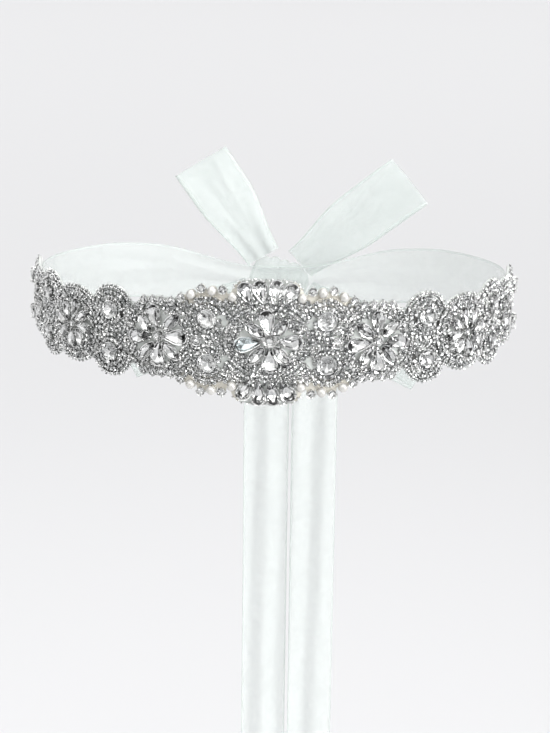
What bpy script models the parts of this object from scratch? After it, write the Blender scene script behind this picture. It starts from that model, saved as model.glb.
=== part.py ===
"""A bridal sash as it is worn: a long applique of rhinestones and pearls, sewn on the middle of an
organza ribbon that goes round the waist and is tied behind in a bow of four loops with two tails.

Metres, +Z up. The origin is the centre of the waist, at half the ribbon's height. The applique
faces -Y and the bow faces +Y. A place on the sash is given by two lengths, as on the cloth laid
flat: along, round the waist from the centre front towards +X, and up from the ribbon's middle.
"""

import math

import bmesh
import bpy
from mathutils import Vector
from mathutils.geometry import delaunay_2d_cdt

# Driving dimensions of the waist and the ribbon, in metres.
WAIST_HALF_WIDTH = 0.126  # side to side, at the ribbon's outer face
WAIST_HALF_DEPTH = 0.092  # front to back
RIBBON_WIDTH = 0.032
RIBBON_WALL = 0.001
SEAM_GAP = 0.0003
BAND_SEAM = 0.165  # along, where the front stretch ends behind the applique
SIDE_RISE = 0.004  # how far the sash lies higher at the sides than at the front
RISE_START = 0.112
RISE_LENGTH = 0.045

# The applique's heights over the ribbon's outer face.
APPLIQUE_BACK = SEAM_GAP
APPLIQUE_RIM = 0.0015
APPLIQUE_BED = 0.0020

# The bow. Depth is measured outwards from the ribbon's outer face at the back.
BACK_DIP = 0.008  # how far the ribbon sinks under the bow's weight, below the front
DIP_LENGTH = 0.110
KNOT_HALF_WIDTH = 0.0165
KNOT_HALF_HEIGHT = 0.0135
KNOT_HALF_DEPTH = 0.0060
KNOT_DEPTH = KNOT_HALF_DEPTH + SEAM_GAP
KNOT_ROUNDNESS = 2.6  # exponent of the knot's superellipse
KNOT_TILT = math.radians(-18.0)
GATHER_HALF_WIDTH = 0.0100  # the ribbon where it is drawn into the knot
LOOP_PUFF = 0.009
LOOP_LAYER = 0.0012  # half the distance between a loop's two layers at the knot
LOOP_LIFT = 0.009  # how far a loop's end stands off the waist
PLEAT_HEIGHT = 0.0009
TAIL_LENGTH = 0.50
TAIL_VISIBLE_WIDTH = 0.027
TAIL_FLUTE = 0.0024
TAIL_HIP = 0.016  # how far the tails are pushed back where they fall over the hip

MM = 0.001

# The applique's outline is the outer edge of these round lobes. Each row stands for four, to the
# left and the right and above and below, in millimetres.
LOBES = (
    # along, up, radius
    (0.0, 21.0, 12.0),
    (6.5, 21.0, 12.0),
    (11.0, 24.8, 7.6),
    (21.0, 13.0, 12.0),
    (30.0, 12.5, 12.5),
    (40.0, 11.5, 12.0),
    (56.3, 0.0, 21.4),
    (83.5, 11.5, 13.0),
    (108.5, 0.0, 20.8),
    (131.0, 10.5, 12.5),
    (149.5, 0.0, 18.5),
    (168.0, 9.0, 11.8),
    (172.0, 0.0, 10.0),
)

# Flowers of eight petals, pears and marquises in turn, each row to the left and the right. The
# stretch moves the petals apart along the sash.
FLOWERS = (
    # along, up, scale, stretch, turn in degrees
    (0.0, 0.8, 1.00, 1.12, 0.0),
    (56.3, 0.0, 1.00, 1.00, -8.0),
    (108.5, 0.0, 0.88, 0.96, 10.0),
    (149.5, 0.0, 0.64, 1.00, 0.0),
)
PETALS = (
    # cut, inner end, length, width, sides: distances from the flower's centre, in millimetres
    ("pear", 3.1, 12.3, 8.1, 8),
    ("marquise", 4.5, 11.3, 5.0, 6),
)
FLOWER_EYE = 2.4
SMALL_FLOWER = 0.7  # the scale below which the petals are too small to show a girdle

# Pears that fan out above and below the centre, each row to the left and the right.
FAN_PEARS = (
    # inner along, inner up, outer along, outer up, width
    (3.0, 21.2, 4.9, 32.3, 7.5),
    (10.7, 21.4, 14.0, 30.7, 7.1),
    (2.5, -20.9, 5.2, -32.2, 7.5),
    (7.6, -20.9, 14.2, -29.6, 7.1),
)

# Round stones, each row to the left and the right and, where up isn't 0, above and below. A ring
# is the radius of the circle of small rhinestones round the stone, or 0.
ROUNDS = (
    # along, up, radius, height, ring
    (30.0, 11.5, 4.6, 5.2, 7.6),
    (35.4, 0.0, 2.7, 4.2, 0.0),
    (83.5, 11.0, 4.5, 5.2, 7.6),
    (131.0, 10.2, 4.3, 5.2, 7.5),
    (168.0, 10.0, 4.3, 5.6, 7.2),
    (164.5, 0.0, 1.9, 3.8, 0.0),
    (172.5, 0.0, 2.4, 3.8, 0.0),
)
RING_HALF_WIDTH = 1.3
RING_HEIGHT = 3.0
CENTRE_RING = (20.9, 18.2)  # its radii along and up

# Pearls and small round stones along the edge, each row standing for four.
EDGE_PEARLS = (
    # along, up
    (17.4, 23.2),
    (27.8, 25.8),
    (38.6, 23.4),
)
EDGE_CHATONS = (
    # along, up
    (22.6, 26.6),
    (33.3, 26.8),
    (43.9, 21.4),
    (49.0, 19.0),
    (54.0, 18.9),
    (59.0, 18.9),
    (64.0, 18.4),
)
PEARL_RADIUS = 2.5
CHATON_RADIUS = 2.0
PEARL_EDGE = 0.5  # how far the applique reaches past a pearl or a small stone
LARGE_STONE_HEIGHT = 4.8
FLOWER_EYE_HEIGHT = 4.4
CHATON_HEIGHT = 3.7
PEARL_HEIGHT = 5.4
GIRDLE_SHARE = 0.55  # how far up its height a stone is widest
GIRDLE_INSET = 0.2
TABLE_SHARE = 0.55  # the table's size against the girdle's

# The loops of the bow. Right is +X for them too, as it is for one who faces the wearer.
BOW_LOOPS = (
    # name, direction in degrees from +X up to +Z, length in metres
    ("bow_loop_upper_right", 41.0, 0.094),
    ("bow_loop_upper_left", 122.0, 0.082),
    ("bow_loop_lower_left", 207.0, 0.096),
    ("bow_loop_lower_right", -30.0, 0.096),
)
TAILS = (
    # name, top below the knot's middle, top across, lower end across, share of the length, phase
    ("tail_right", 0.0117, 0.0108, 0.0225, 1.00, 0.0),
    ("tail_left", 0.0128, -0.0108, -0.0062, 0.96, 1.9),
)


def clear_scene():
    for thing in list(bpy.data.objects):
        bpy.data.objects.remove(thing, do_unlink=True)


def smooth(share):
    share = min(1.0, max(0.0, share))
    return share * share * (3.0 - 2.0 * share)


# --- The waist -------------------------------------------------------------------------------

WAIST_STEPS = 1440


def waist_lengths():
    """The distance round the waist from the centre front at equal steps of the angle."""
    lengths = [0.0]
    before = Vector((0.0, -WAIST_HALF_DEPTH, 0.0))
    for step in range(1, WAIST_STEPS + 1):
        turn = 2.0 * math.pi * step / WAIST_STEPS
        here = Vector(
            (WAIST_HALF_WIDTH * math.sin(turn), -WAIST_HALF_DEPTH * math.cos(turn), 0.0)
        )
        lengths.append(lengths[-1] + (here - before).length)
        before = here
    return lengths


WAIST_LENGTHS = waist_lengths()
GIRTH = WAIST_LENGTHS[-1]


def waist_turn(along):
    """The angle of the place that lies this far round the waist."""
    along = along % GIRTH
    low, high = 0, WAIST_STEPS
    while high - low > 1:
        middle = (low + high) // 2
        if WAIST_LENGTHS[middle] <= along:
            low = middle
        else:
            high = middle
    share = (along - WAIST_LENGTHS[low]) / (WAIST_LENGTHS[high] - WAIST_LENGTHS[low])
    return 2.0 * math.pi * (low + share) / WAIST_STEPS


def on_waist(along, up, out):
    """A place on the waist, moved out from the ribbon's outer face."""
    turn = waist_turn(along)
    x = WAIST_HALF_WIDTH * math.sin(turn)
    y = -WAIST_HALF_DEPTH * math.cos(turn)
    normal = Vector((x / WAIST_HALF_WIDTH**2, y / WAIST_HALF_DEPTH**2, 0.0)).normalized()
    return Vector((x, y, up)) + normal * out


def middle_height(along):
    """The height of the ribbon's middle: it rises to the sides and sinks towards the bow."""
    from_back = abs(GIRTH / 2.0 - abs(along))
    rise = SIDE_RISE * smooth((abs(along) - RISE_START) / RISE_LENGTH)
    return rise - (SIDE_RISE + BACK_DIP) * (1.0 - smooth(from_back / DIP_LENGTH))


def behind(across, up, depth):
    """A place at the back: across from the centre back towards +X, up from the knot's middle."""
    return on_waist(GIRTH / 2.0 - across, up - BACK_DIP, depth)


# --- Materials and meshes --------------------------------------------------------------------


def material(name, colour, roughness, metallic=0.0):
    made = bpy.data.materials.new(name)
    made.use_nodes = True
    shader = made.node_tree.nodes["Principled BSDF"]
    shader.inputs["Base Color"].default_value = (*colour, 1.0)
    shader.inputs["Roughness"].default_value = roughness
    shader.inputs["Metallic"].default_value = metallic
    made.diffuse_color = (*colour, 1.0)
    return made


def make_object(name, mesh_maker, finish, smooth_shaded):
    mesh = bpy.data.meshes.new(name)
    mesh_maker.to_mesh(mesh)
    mesh_maker.free()
    if smooth_shaded:
        mesh.shade_smooth()
    mesh.materials.append(finish)
    made = bpy.data.objects.new(name, mesh)
    bpy.context.collection.objects.link(made)
    return made


def cloth(name, rows, finish):
    """A sheet of quads through rows of points, given the ribbon's wall behind its face."""
    sheet = bmesh.new()
    grid = [[sheet.verts.new(point) for point in row] for row in rows]
    for here, there in zip(grid, grid[1:]):
        for corner in range(len(here) - 1):
            sheet.faces.new((here[corner], here[corner + 1], there[corner + 1], there[corner]))
    made = make_object(name, sheet, finish, True)
    wall = made.modifiers.new("wall", "SOLIDIFY")
    wall.thickness = RIBBON_WALL
    wall.offset = -1.0
    return made


# --- The band round the waist ----------------------------------------------------------------

BAND_STEP = 0.010
BAND_COLUMNS = 8
PLEATS = 2.5
BAND_GATHER_LENGTH = 0.055


def gather(distance, gather_length, full_half_width):
    """(half width, pleat height) of a ribbon at this distance from where it enters the knot."""
    share = smooth(distance / gather_length)
    half_width = GATHER_HALF_WIDTH + (full_half_width - GATHER_HALF_WIDTH) * share
    return half_width, PLEAT_HEIGHT * (1.0 - share)


def band_row(along):
    """The ribbon's points from its upper edge to its lower one. Its pleats sink inwards."""
    to_knot = max(0.0, GIRTH / 2.0 - abs(along) - KNOT_HALF_WIDTH)
    half_width, pleat = gather(to_knot, BAND_GATHER_LENGTH, RIBBON_WIDTH / 2.0)
    row = []
    for column in range(BAND_COLUMNS):
        share = 1.0 - 2.0 * column / (BAND_COLUMNS - 1)
        fold = pleat * (math.cos(PLEATS * math.pi * (share + 1.0)) - 1.0)
        row.append(on_waist(along, share * half_width + middle_height(along), fold))
    return row


def band_stretch(name, start, end, finish):
    steps = max(2, round(abs(end - start) / BAND_STEP))
    rows = [band_row(start + (end - start) * step / steps) for step in range(steps + 1)]
    return cloth(name, rows, finish)


def front_band(finish):
    """The stretch behind the applique is flat, so its edges and its middle give its form."""
    steps = round(2.0 * BAND_SEAM / BAND_STEP)
    rows = []
    for step in range(steps + 1):
        along = -BAND_SEAM + 2.0 * BAND_SEAM * step / steps
        middle = middle_height(along)
        edges = (0.5 * RIBBON_WIDTH, 0.0, -0.5 * RIBBON_WIDTH)
        rows.append([on_waist(along, middle + edge, 0.0) for edge in edges])
    return cloth("band_front", rows, finish)


# --- The knot, the loops and the tails ---------------------------------------------------------

KNOT_STATIONS = 11
KNOT_SIDES = 18
KNOT_FOLD = 0.05


def knot_place(across, up, depth):
    """A place on the knot, which lies a little turned."""
    cosine, sine = math.cos(KNOT_TILT), math.sin(KNOT_TILT)
    return behind(across * cosine - up * sine, across * sine + up * cosine, depth)


def knot(finish):
    """The crossed ribbon, wound once round with its edges to the sides: three soft folds."""
    lump = bmesh.new()
    rings = []
    for station in range(1, KNOT_STATIONS):
        share = -math.cos(math.pi * station / KNOT_STATIONS)
        fullness = (1.0 - abs(share) ** KNOT_ROUNDNESS) ** (1.0 / KNOT_ROUNDNESS)
        fullness *= 1.0 - KNOT_FOLD + KNOT_FOLD * math.cos(3.0 * math.pi * share)
        ring = []
        for side in range(KNOT_SIDES):
            turn = 2.0 * math.pi * side / KNOT_SIDES
            reach = (
                abs(math.cos(turn)) ** KNOT_ROUNDNESS + abs(math.sin(turn)) ** KNOT_ROUNDNESS
            ) ** (-1.0 / KNOT_ROUNDNESS)
            depth = KNOT_DEPTH + KNOT_HALF_DEPTH * fullness * reach * math.cos(turn)
            up = KNOT_HALF_HEIGHT * fullness * reach * math.sin(turn)
            ring.append(lump.verts.new(knot_place(KNOT_HALF_WIDTH * share, up, depth)))
        rings.append(ring)
    ends = [
        lump.verts.new(knot_place(side * KNOT_HALF_WIDTH, 0.0, KNOT_DEPTH))
        for side in (-1.0, 1.0)
    ]
    for side in range(KNOT_SIDES):
        after = (side + 1) % KNOT_SIDES
        lump.faces.new((ends[0], rings[0][side], rings[0][after]))
        lump.faces.new((ends[1], rings[-1][after], rings[-1][side]))
        for here, there in zip(rings, rings[1:]):
            lump.faces.new((here[side], there[side], there[after], here[after]))
    bmesh.ops.recalc_face_normals(lump, faces=lump.faces)
    return make_object("knot", lump, finish, True)


def knot_reach(direction):
    """How far the knot reaches in a direction, as a straight edge laid against it."""
    power = KNOT_ROUNDNESS / (KNOT_ROUNDNESS - 1.0)
    across = KNOT_HALF_WIDTH * abs(math.cos(direction - KNOT_TILT))
    up = KNOT_HALF_HEIGHT * abs(math.sin(direction - KNOT_TILT))
    return (across**power + up**power) ** (1.0 / power)


LOOP_STATIONS = 21
LOOP_COLUMNS = 8
LOOP_GATHER_LENGTH = 0.042


def bow_loop(name, direction, length, finish):
    """The ribbon goes out near the waist, turns, and comes back on top, drawn in at the knot."""
    root = knot_reach(direction) + SEAM_GAP
    run = length - root
    rows = []
    for station in range(LOOP_STATIONS):
        turn = math.pi * station / (LOOP_STATIONS - 1)
        share = math.sin(turn) ** 2
        reach = root + run * share
        half_width, pleat = gather(reach - root, LOOP_GATHER_LENGTH, RIBBON_WIDTH / 2.0)
        puff = (LOOP_LAYER + LOOP_PUFF * share) * math.cos(turn)
        middle = KNOT_DEPTH + LOOP_LIFT * share * share
        row = []
        for column in range(LOOP_COLUMNS):
            edge = 1.0 - 2.0 * column / (LOOP_COLUMNS - 1)
            fold = pleat * math.cos(PLEATS * math.pi * (edge + 1.0))
            across = reach * math.cos(direction) - edge * half_width * math.sin(direction)
            up = reach * math.sin(direction) + edge * half_width * math.cos(direction)
            row.append(behind(across, up, middle - puff + fold))
        rows.append(row)
    return cloth(name, rows, finish)


TAIL_STATIONS = 18
TAIL_COLUMNS = 8
TAIL_GATHER_LENGTH = 0.060
TAIL_TOP_DEPTH = 0.0022  # at the top, where the lower loops lie over it
TAIL_DEPTH = 0.0065
TAIL_COVERED = 0.020  # how far it hangs under the loops before it stands off and flutes
TAIL_FLUTES = 1.5
TAIL_FLUTE_DRIFT = 3.0  # how far the flutes wander across on the way down, as a phase
TAIL_HIP_SHARE = 0.6  # the share of its length over which the hip pushes it back
TAIL_STATION_POWER = 1.6  # its stations lie closer together near the knot
TAIL_SLANT = 0.018  # the slant of its cut end
TAIL_SLANT_POWER = 6


def tail(name, top, top_across, low_across, share_of_length, phase, finish):
    """A free end of the ribbon, hanging in soft lengthwise flutes and cut at a slant. The phase
    is that of its flutes.
    """
    length = TAIL_LENGTH * share_of_length
    rows = []
    for station in range(TAIL_STATIONS):
        share = (station / (TAIL_STATIONS - 1)) ** TAIL_STATION_POWER
        fallen = length * share
        opened = smooth(fallen / TAIL_GATHER_LENGTH)
        free = smooth((fallen - TAIL_COVERED) / TAIL_GATHER_LENGTH)
        half_width, pleat = gather(fallen, TAIL_GATHER_LENGTH, TAIL_VISIBLE_WIDTH / 2.0)
        middle = top_across + (low_across - top_across) * opened
        depth = TAIL_TOP_DEPTH + (TAIL_DEPTH - TAIL_TOP_DEPTH) * free
        depth += TAIL_HIP * free * smooth(share / TAIL_HIP_SHARE)
        row = []
        for column in range(TAIL_COLUMNS):
            edge = 2.0 * column / (TAIL_COLUMNS - 1) - 1.0
            wave = TAIL_FLUTE * free
            wave *= math.cos(TAIL_FLUTES * math.pi * edge + phase + TAIL_FLUTE_DRIFT * share)
            fold = pleat * (math.cos(PLEATS * math.pi * (edge + 1.0)) - 1.0)
            slant = TAIL_SLANT * 0.5 * (edge + 1.0) * share**TAIL_SLANT_POWER
            place = behind(0.0, -top - fallen + slant, depth + wave + fold)
            place.x += middle + edge * half_width
            row.append(place)
        rows.append(row)
    return cloth(name, rows, finish)


# --- The applique ------------------------------------------------------------------------------


def mirrored(along, up):
    """The places to the left and right, and above and below, that one row of a table stands for."""
    sides = (-1.0, 1.0) if along else (1.0,)
    heights = (-1.0, 1.0) if up else (1.0,)
    return [(side * along, height * up) for side in sides for height in heights]


OUTLINE_STEP = 2.8
OUTLINE_LEAST = 0.8
FRONT_NET, FRONT_CLEAR = 6.0, 1.8  # the bed's net of points, and its distance from the others
BACK_NET, BACK_CLEAR = 9.0, 2.5
LARGE_SIDES, SMALL_SIDES = 8, 6
CENTRE_RING_SIDES, RING_SIDES = 24, 12


def all_lobes():
    """(along, up, radius) of each lobe above the middle, to the left and the right."""
    rows = list(LOBES)
    rows += [(along, up, PEARL_RADIUS + PEARL_EDGE) for along, up in EDGE_PEARLS]
    rows += [(along, up, CHATON_RADIUS + PEARL_EDGE) for along, up in EDGE_CHATONS]
    return [
        (side * along, up, radius)
        for along, up, radius in rows
        for side in ((-1.0, 1.0) if along else (1.0,))
    ]


def outline_height(along, lobes):
    reach = [
        up + math.sqrt(radius**2 - (along - middle) ** 2)
        for middle, up, radius in lobes
        if abs(along - middle) < radius
    ]
    return max(reach, default=0.0)


def applique_outline():
    """The outer edge of the lobes, anticlockwise from the right tip, in millimetres."""
    lobes = all_lobes()
    upper = []
    for middle, up, radius in lobes:
        steps = math.ceil(math.pi * radius / OUTLINE_STEP)
        for step in range(steps + 1):
            turn = math.pi * step / steps
            along = middle + radius * math.cos(turn)
            height = up + radius * math.sin(turn)
            if height > outline_height(along, lobes) - 1e-6 and height > OUTLINE_LEAST:
                upper.append((along, height))
    tip = max(middle + radius for middle, _, radius in lobes)
    upper.sort(key=lambda place: -place[0])
    edge = [(tip, 0.0)]
    for place in upper:
        if math.dist(place, edge[-1]) > OUTLINE_LEAST:
            edge.append(place)
    edge.append((-tip, 0.0))
    return edge + [(along, -up) for along, up in reversed(edge[1:-1])]


def round_ring(radius, sides, turn=0.0):
    angles = [2.0 * math.pi * side / sides + turn for side in range(sides)]
    return [(radius * math.cos(angle), radius * math.sin(angle)) for angle in angles]


PEAR_FULLNESS = 0.80
PEAR_TAPER = 0.62  # how much fuller its round end is than its narrow one
MARQUISE_POINT = 1.5  # over 1 draws its ends out to points
PEARL_STEPS = (  # a pearl's ring against its foot, and how far up its height that ring lies
    (0.88, 0.55),
    (0.48, 0.93),
)


def pear_ring(length, width, sides):
    """A pear's outline, its narrow end towards the flower's centre and its middle at 0, 0."""
    angles = [2.0 * math.pi * side / sides for side in range(sides)]
    return [
        (
            length / 2.0 * math.cos(angle),
            PEAR_FULLNESS
            * (width / 2.0)
            * math.sin(angle)
            * (1.0 + PEAR_TAPER * math.cos(angle)),
        )
        for angle in angles
    ]


def marquise_ring(length, width, sides):
    """A marquise's outline, pointed at both ends."""
    angles = [2.0 * math.pi * side / sides for side in range(sides)]
    return [
        (
            length / 2.0 * math.cos(angle),
            math.copysign(width / 2.0 * abs(math.sin(angle)) ** MARQUISE_POINT, math.sin(angle)),
        )
        for angle in angles
    ]


def placed(ring, centre, direction):
    cosine, sine = math.cos(direction), math.sin(direction)
    return [
        (centre[0] + x * cosine - y * sine, centre[1] + x * sine + y * cosine) for x, y in ring
    ]


def scaled(ring, share):
    return [(x * share, y * share) for x, y in ring]


def inset(ring, distance):
    size = max(math.hypot(x, y) for x, y in ring)
    return scaled(ring, 1.0 - distance / size)


def stone_levels(ring, height):
    """(ring, height) at a stone's setting, its girdle and its table, from the bed up."""
    bed = APPLIQUE_BED / MM
    girdle = bed + GIRDLE_SHARE * (height - bed)
    return [(ring, bed), (inset(ring, GIRDLE_INSET), girdle), (scaled(ring, TABLE_SHARE), height)]


def small_stone_levels(ring, height):
    return [(ring, APPLIQUE_BED / MM), (scaled(ring, TABLE_SHARE), height)]


def pearl_levels(ring, height):
    bed = APPLIQUE_BED / MM
    steps = [(scaled(ring, size), bed + share * (height - bed)) for size, share in PEARL_STEPS]
    return [(ring, bed), *steps]


def ring_levels(radii, sides):
    """A low ridge, as the circle of small rhinestones round a large stone makes."""
    levels = []
    for offset, height in ((1, APPLIQUE_BED / MM), (0, RING_HEIGHT), (-1, APPLIQUE_BED / MM)):
        along, up = (radius + offset * RING_HALF_WIDTH for radius in radii)
        ring = [(x * along, y * up) for x, y in round_ring(1.0, sides)]
        levels.append((ring, height))
    return levels


def flower_forms(along, up, scale, stretch, turn):
    """The stones of one flower: (centre, direction, levels) of each."""
    eye = round_ring(FLOWER_EYE * scale, LARGE_SIDES)
    forms = [((along, up), 0.0, small_stone_levels(eye, FLOWER_EYE_HEIGHT))]
    for petal in range(8):
        cut, inner, length, width, sides = PETALS[petal % 2]
        outline = pear_ring if cut == "pear" else marquise_ring
        direction = math.radians(45.0 * petal + turn)
        middle = scale * (inner + length / 2.0)
        centre = (
            along + stretch * middle * math.cos(direction),
            up + middle * math.sin(direction),
        )
        ring = outline(scale * length, scale * width, sides)
        levels = stone_levels if scale > SMALL_FLOWER else small_stone_levels
        forms.append((centre, direction, levels(ring, LARGE_STONE_HEIGHT)))
    return forms


def fan_forms():
    forms = []
    for inner_along, inner_up, outer_along, outer_up, width in FAN_PEARS:
        for side in (-1.0, 1.0):
            inner = (side * inner_along, inner_up)
            outer = (side * outer_along, outer_up)
            length = math.dist(inner, outer)
            direction = math.atan2(outer[1] - inner[1], outer[0] - inner[0])
            centre = ((inner[0] + outer[0]) / 2.0, (inner[1] + outer[1]) / 2.0)
            levels = stone_levels(pear_ring(length, width, LARGE_SIDES), LARGE_STONE_HEIGHT)
            forms.append((centre, direction, levels))
    return forms


def applique_forms():
    """Everything that stands on the applique's bed: (centre, direction, levels) of each."""
    forms = [((0.0, 0.0), 0.0, ring_levels(CENTRE_RING, CENTRE_RING_SIDES))]
    for along, up, scale, stretch, turn in FLOWERS:
        for side in (-1.0, 1.0) if along else (1.0,):
            forms += flower_forms(side * along, up, scale, stretch, side * turn)
    forms += fan_forms()
    for along, up, radius, height, ring in ROUNDS:
        for centre in mirrored(along, up):
            forms.append((centre, 0.0, stone_levels(round_ring(radius, LARGE_SIDES), height)))
            if ring:
                forms.append((centre, 0.0, ring_levels((ring, ring), RING_SIDES)))
    for along, up in EDGE_PEARLS:
        for centre in mirrored(along, up):
            levels = pearl_levels(round_ring(PEARL_RADIUS, LARGE_SIDES), PEARL_HEIGHT)
            forms.append((centre, 0.0, levels))
    for along, up in EDGE_CHATONS:
        for centre in mirrored(along, up):
            levels = small_stone_levels(round_ring(CHATON_RADIUS, SMALL_SIDES), CHATON_HEIGHT)
            forms.append((centre, 0.0, levels))
    return forms


def bed_points(outline, taken, step, clearance):
    """Places on an even net that lie inside the outline and clear of the points already taken."""
    lobes = all_lobes()
    points = []
    row_height = step * math.sqrt(3.0) / 2.0
    length = max(along for along, _ in outline)
    height = max(up for _, up in outline)
    for row in range(-int(height / row_height), int(height / row_height) + 1):
        shift = step / 2.0 if row % 2 else 0.0
        for column in range(-int(length / step), int(length / step) + 1):
            place = (column * step + shift, row * row_height)
            if abs(place[1]) > outline_height(place[0], lobes) - clearance:
                continue
            if all(math.dist(place, point) > clearance for point in taken):
                points.append(place)
    return points


def inside_form(place, forms):
    """Whether a place lies on a stone or on the stone inside a ring."""
    for centre, direction, levels in forms:
        dx, dy = place[0] - centre[0], place[1] - centre[1]
        x = dx * math.cos(direction) + dy * math.sin(direction)
        y = dy * math.cos(direction) - dx * math.sin(direction)
        reach_x = max(point[0] for point in levels[0][0])
        reach_y = max(point[1] for point in levels[0][0])
        if (x / reach_x) ** 2 + (y / reach_y) ** 2 < 1.0:
            return True
    return False


def triangulated(outline, rings, loose):
    """Triangles over the flat applique that keep its outline and every ring as edges."""
    places = list(outline)
    edges = [(i, (i + 1) % len(outline)) for i in range(len(outline))]
    for ring in rings:
        start = len(places)
        places += ring
        edges += [(start + i, start + (i + 1) % len(ring)) for i in range(len(ring))]
    places += loose
    vectors = [Vector(place).to_2d() for place in places]
    made, _, faces, origins, _, _ = delaunay_2d_cdt(vectors, edges, [], 1, 1e-5)
    return made, faces, origins


def on_applique(place, out):
    """A flat place in millimetres, laid round the waist where the ribbon's middle lies."""
    along = place.x * MM
    return on_waist(along, place.y * MM + middle_height(along), out)


def applique(finish):
    """One thick piece: its outer points stand up as stones and pearls, and its back is plain."""
    outline = applique_outline()
    forms = applique_forms()
    rings, heights = [], [APPLIQUE_RIM / MM] * len(outline)
    for centre, direction, levels in forms:
        for ring, height in levels:
            rings.append(placed(ring, centre, direction))
            heights += [height] * len(ring)
    taken = outline + [place for ring in rings for place in ring]
    net = bed_points(outline, taken, FRONT_NET, FRONT_CLEAR)
    loose = [place for place in net if not inside_form(place, forms)]
    heights += [APPLIQUE_BED / MM] * len(loose)

    piece = bmesh.new()
    made, faces, origins = triangulated(outline, rings, loose)
    front = []
    for place, origin in zip(made, origins):
        height = heights[origin[0]] if origin else APPLIQUE_BED / MM
        front.append(piece.verts.new(on_applique(place, height * MM)))
    for face in faces:
        piece.faces.new([front[corner] for corner in face])

    back_loose = bed_points(outline, outline, BACK_NET, BACK_CLEAR)
    made, faces, origins_back = triangulated(outline, [], back_loose)
    back = [piece.verts.new(on_applique(place, APPLIQUE_BACK)) for place in made]
    for face in faces:
        piece.faces.new([back[corner] for corner in reversed(face)])

    edge_front = {origin[0]: vert for origin, vert in zip(origins, front) if origin}
    edge_back = {origin[0]: vert for origin, vert in zip(origins_back, back) if origin}
    for corner in range(len(outline)):
        after = (corner + 1) % len(outline)
        piece.faces.new(
            (edge_front[corner], edge_back[corner], edge_back[after], edge_front[after])
        )
    bmesh.ops.recalc_face_normals(piece, faces=piece.faces)
    return make_object("applique", piece, finish, False)


def build():
    clear_scene()
    stones = material("rhinestones and silver", (0.78, 0.79, 0.80), 0.15, 0.7)
    organza = material("white organza", (0.86, 0.88, 0.87), 0.45)
    back_seam = GIRTH / 2.0 - SEAM_GAP / 2.0
    applique(stones)
    front_band(organza)
    start = BAND_SEAM + SEAM_GAP
    band_stretch("band_right", start, back_seam, organza)
    band_stretch("band_left", -back_seam, -start, organza)
    knot(organza)
    for name, direction, length in BOW_LOOPS:
        bow_loop(name, math.radians(direction), length, organza)
    for name, top, top_across, low_across, share_of_length, phase in TAILS:
        tail(name, top, top_across, low_across, share_of_length, phase, organza)


build()
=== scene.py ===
"""A bridal sash as it is worn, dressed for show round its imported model: an organza ribbon tied
behind in a bow, and the applique of rhinestones and pearls that is sewn on its front.

Metres, +Z up. A place on the sash is given as on the cloth laid flat: along, round the waist from
the centre front towards +X; up from the ribbon's middle; and out from the ribbon's outer face.
"""

import math
import random
from bisect import bisect_right

import bmesh
import bpy
from mathutils import Matrix, Vector
from mathutils.geometry import delaunay_2d_cdt
from mathutils.kdtree import KDTree


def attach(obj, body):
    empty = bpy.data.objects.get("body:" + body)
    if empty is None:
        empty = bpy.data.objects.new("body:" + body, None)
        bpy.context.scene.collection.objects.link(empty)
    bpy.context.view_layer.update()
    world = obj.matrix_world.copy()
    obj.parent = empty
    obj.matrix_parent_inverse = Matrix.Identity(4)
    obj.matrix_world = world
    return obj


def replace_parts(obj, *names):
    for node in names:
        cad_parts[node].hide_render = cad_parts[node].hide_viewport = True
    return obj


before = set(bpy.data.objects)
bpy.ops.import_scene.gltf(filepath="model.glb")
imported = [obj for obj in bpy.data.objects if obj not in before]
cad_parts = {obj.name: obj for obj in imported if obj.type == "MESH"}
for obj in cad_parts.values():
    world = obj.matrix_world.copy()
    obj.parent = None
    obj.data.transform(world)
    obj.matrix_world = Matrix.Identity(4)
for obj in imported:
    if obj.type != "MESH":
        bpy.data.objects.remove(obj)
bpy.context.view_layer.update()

# --- The studio ----------------------------------------------------------------------------------
# A pale floor that runs far out past the sash. Soft light comes from overhead, from a large window
# on each side in front and from behind, and the walls are dim, for the stones to sparkle against.

FLOOR_HEIGHT, FLOOR_REACH = -0.56, 70.0
FLOOR_TONE = (0.70, 0.70, 0.71, 1.0)
WALL_LEVELS = (
    # height of the direction looked in (0 level, 1 straight up), brightness
    (0.00, 0.62),
    (0.06, 0.45),
    (0.14, 0.02),
    (0.42, 0.02),
    (0.60, 0.92),
    (1.00, 1.52),
)
SOFT_LIGHTS = (
    # name, place, aimed at, width, height, power, spread in degrees
    ("key", (-0.25, -1.60, 1.30), (0.0, 0.0, 0.0), 3.2, 2.2, 12.0, 150.0),
    ("right window", (2.30, -1.65, 0.60), (0.0, 0.0, 0.0), 1.2, 1.7, 9.8, 60.0),
    ("left window", (-2.30, -1.65, 0.60), (0.0, 0.0, 0.0), 1.2, 1.7, 1.0, 60.0),
    ("back", (0.3, 1.7, 1.3), (0.0, 0.0, -0.1), 1.6, 0.9, 1.5, 110.0),
    ("far floor", (0.0, 7.0, 4.5), (0.0, 7.0, 0.0), 26.0, 12.0, 400.0, 110.0),
    ("near floor", (0.0, -7.5, 4.5), (0.0, -7.5, 0.0), 26.0, 10.0, 380.0, 110.0),
)
CAMERA_DISTANCE = 1.25
CAMERA_RISE, CAMERA_YAW, CAMERA_ROLL = math.radians(14.0), math.radians(1.7), math.radians(0.87)
CAMERA_AIM = (0.0015, 0.0, -0.0357)
CAMERA_LENS = 2276.0 / 733.0  # the focal length against the picture's height
CAMERA_SENSOR = 36.0


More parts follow.
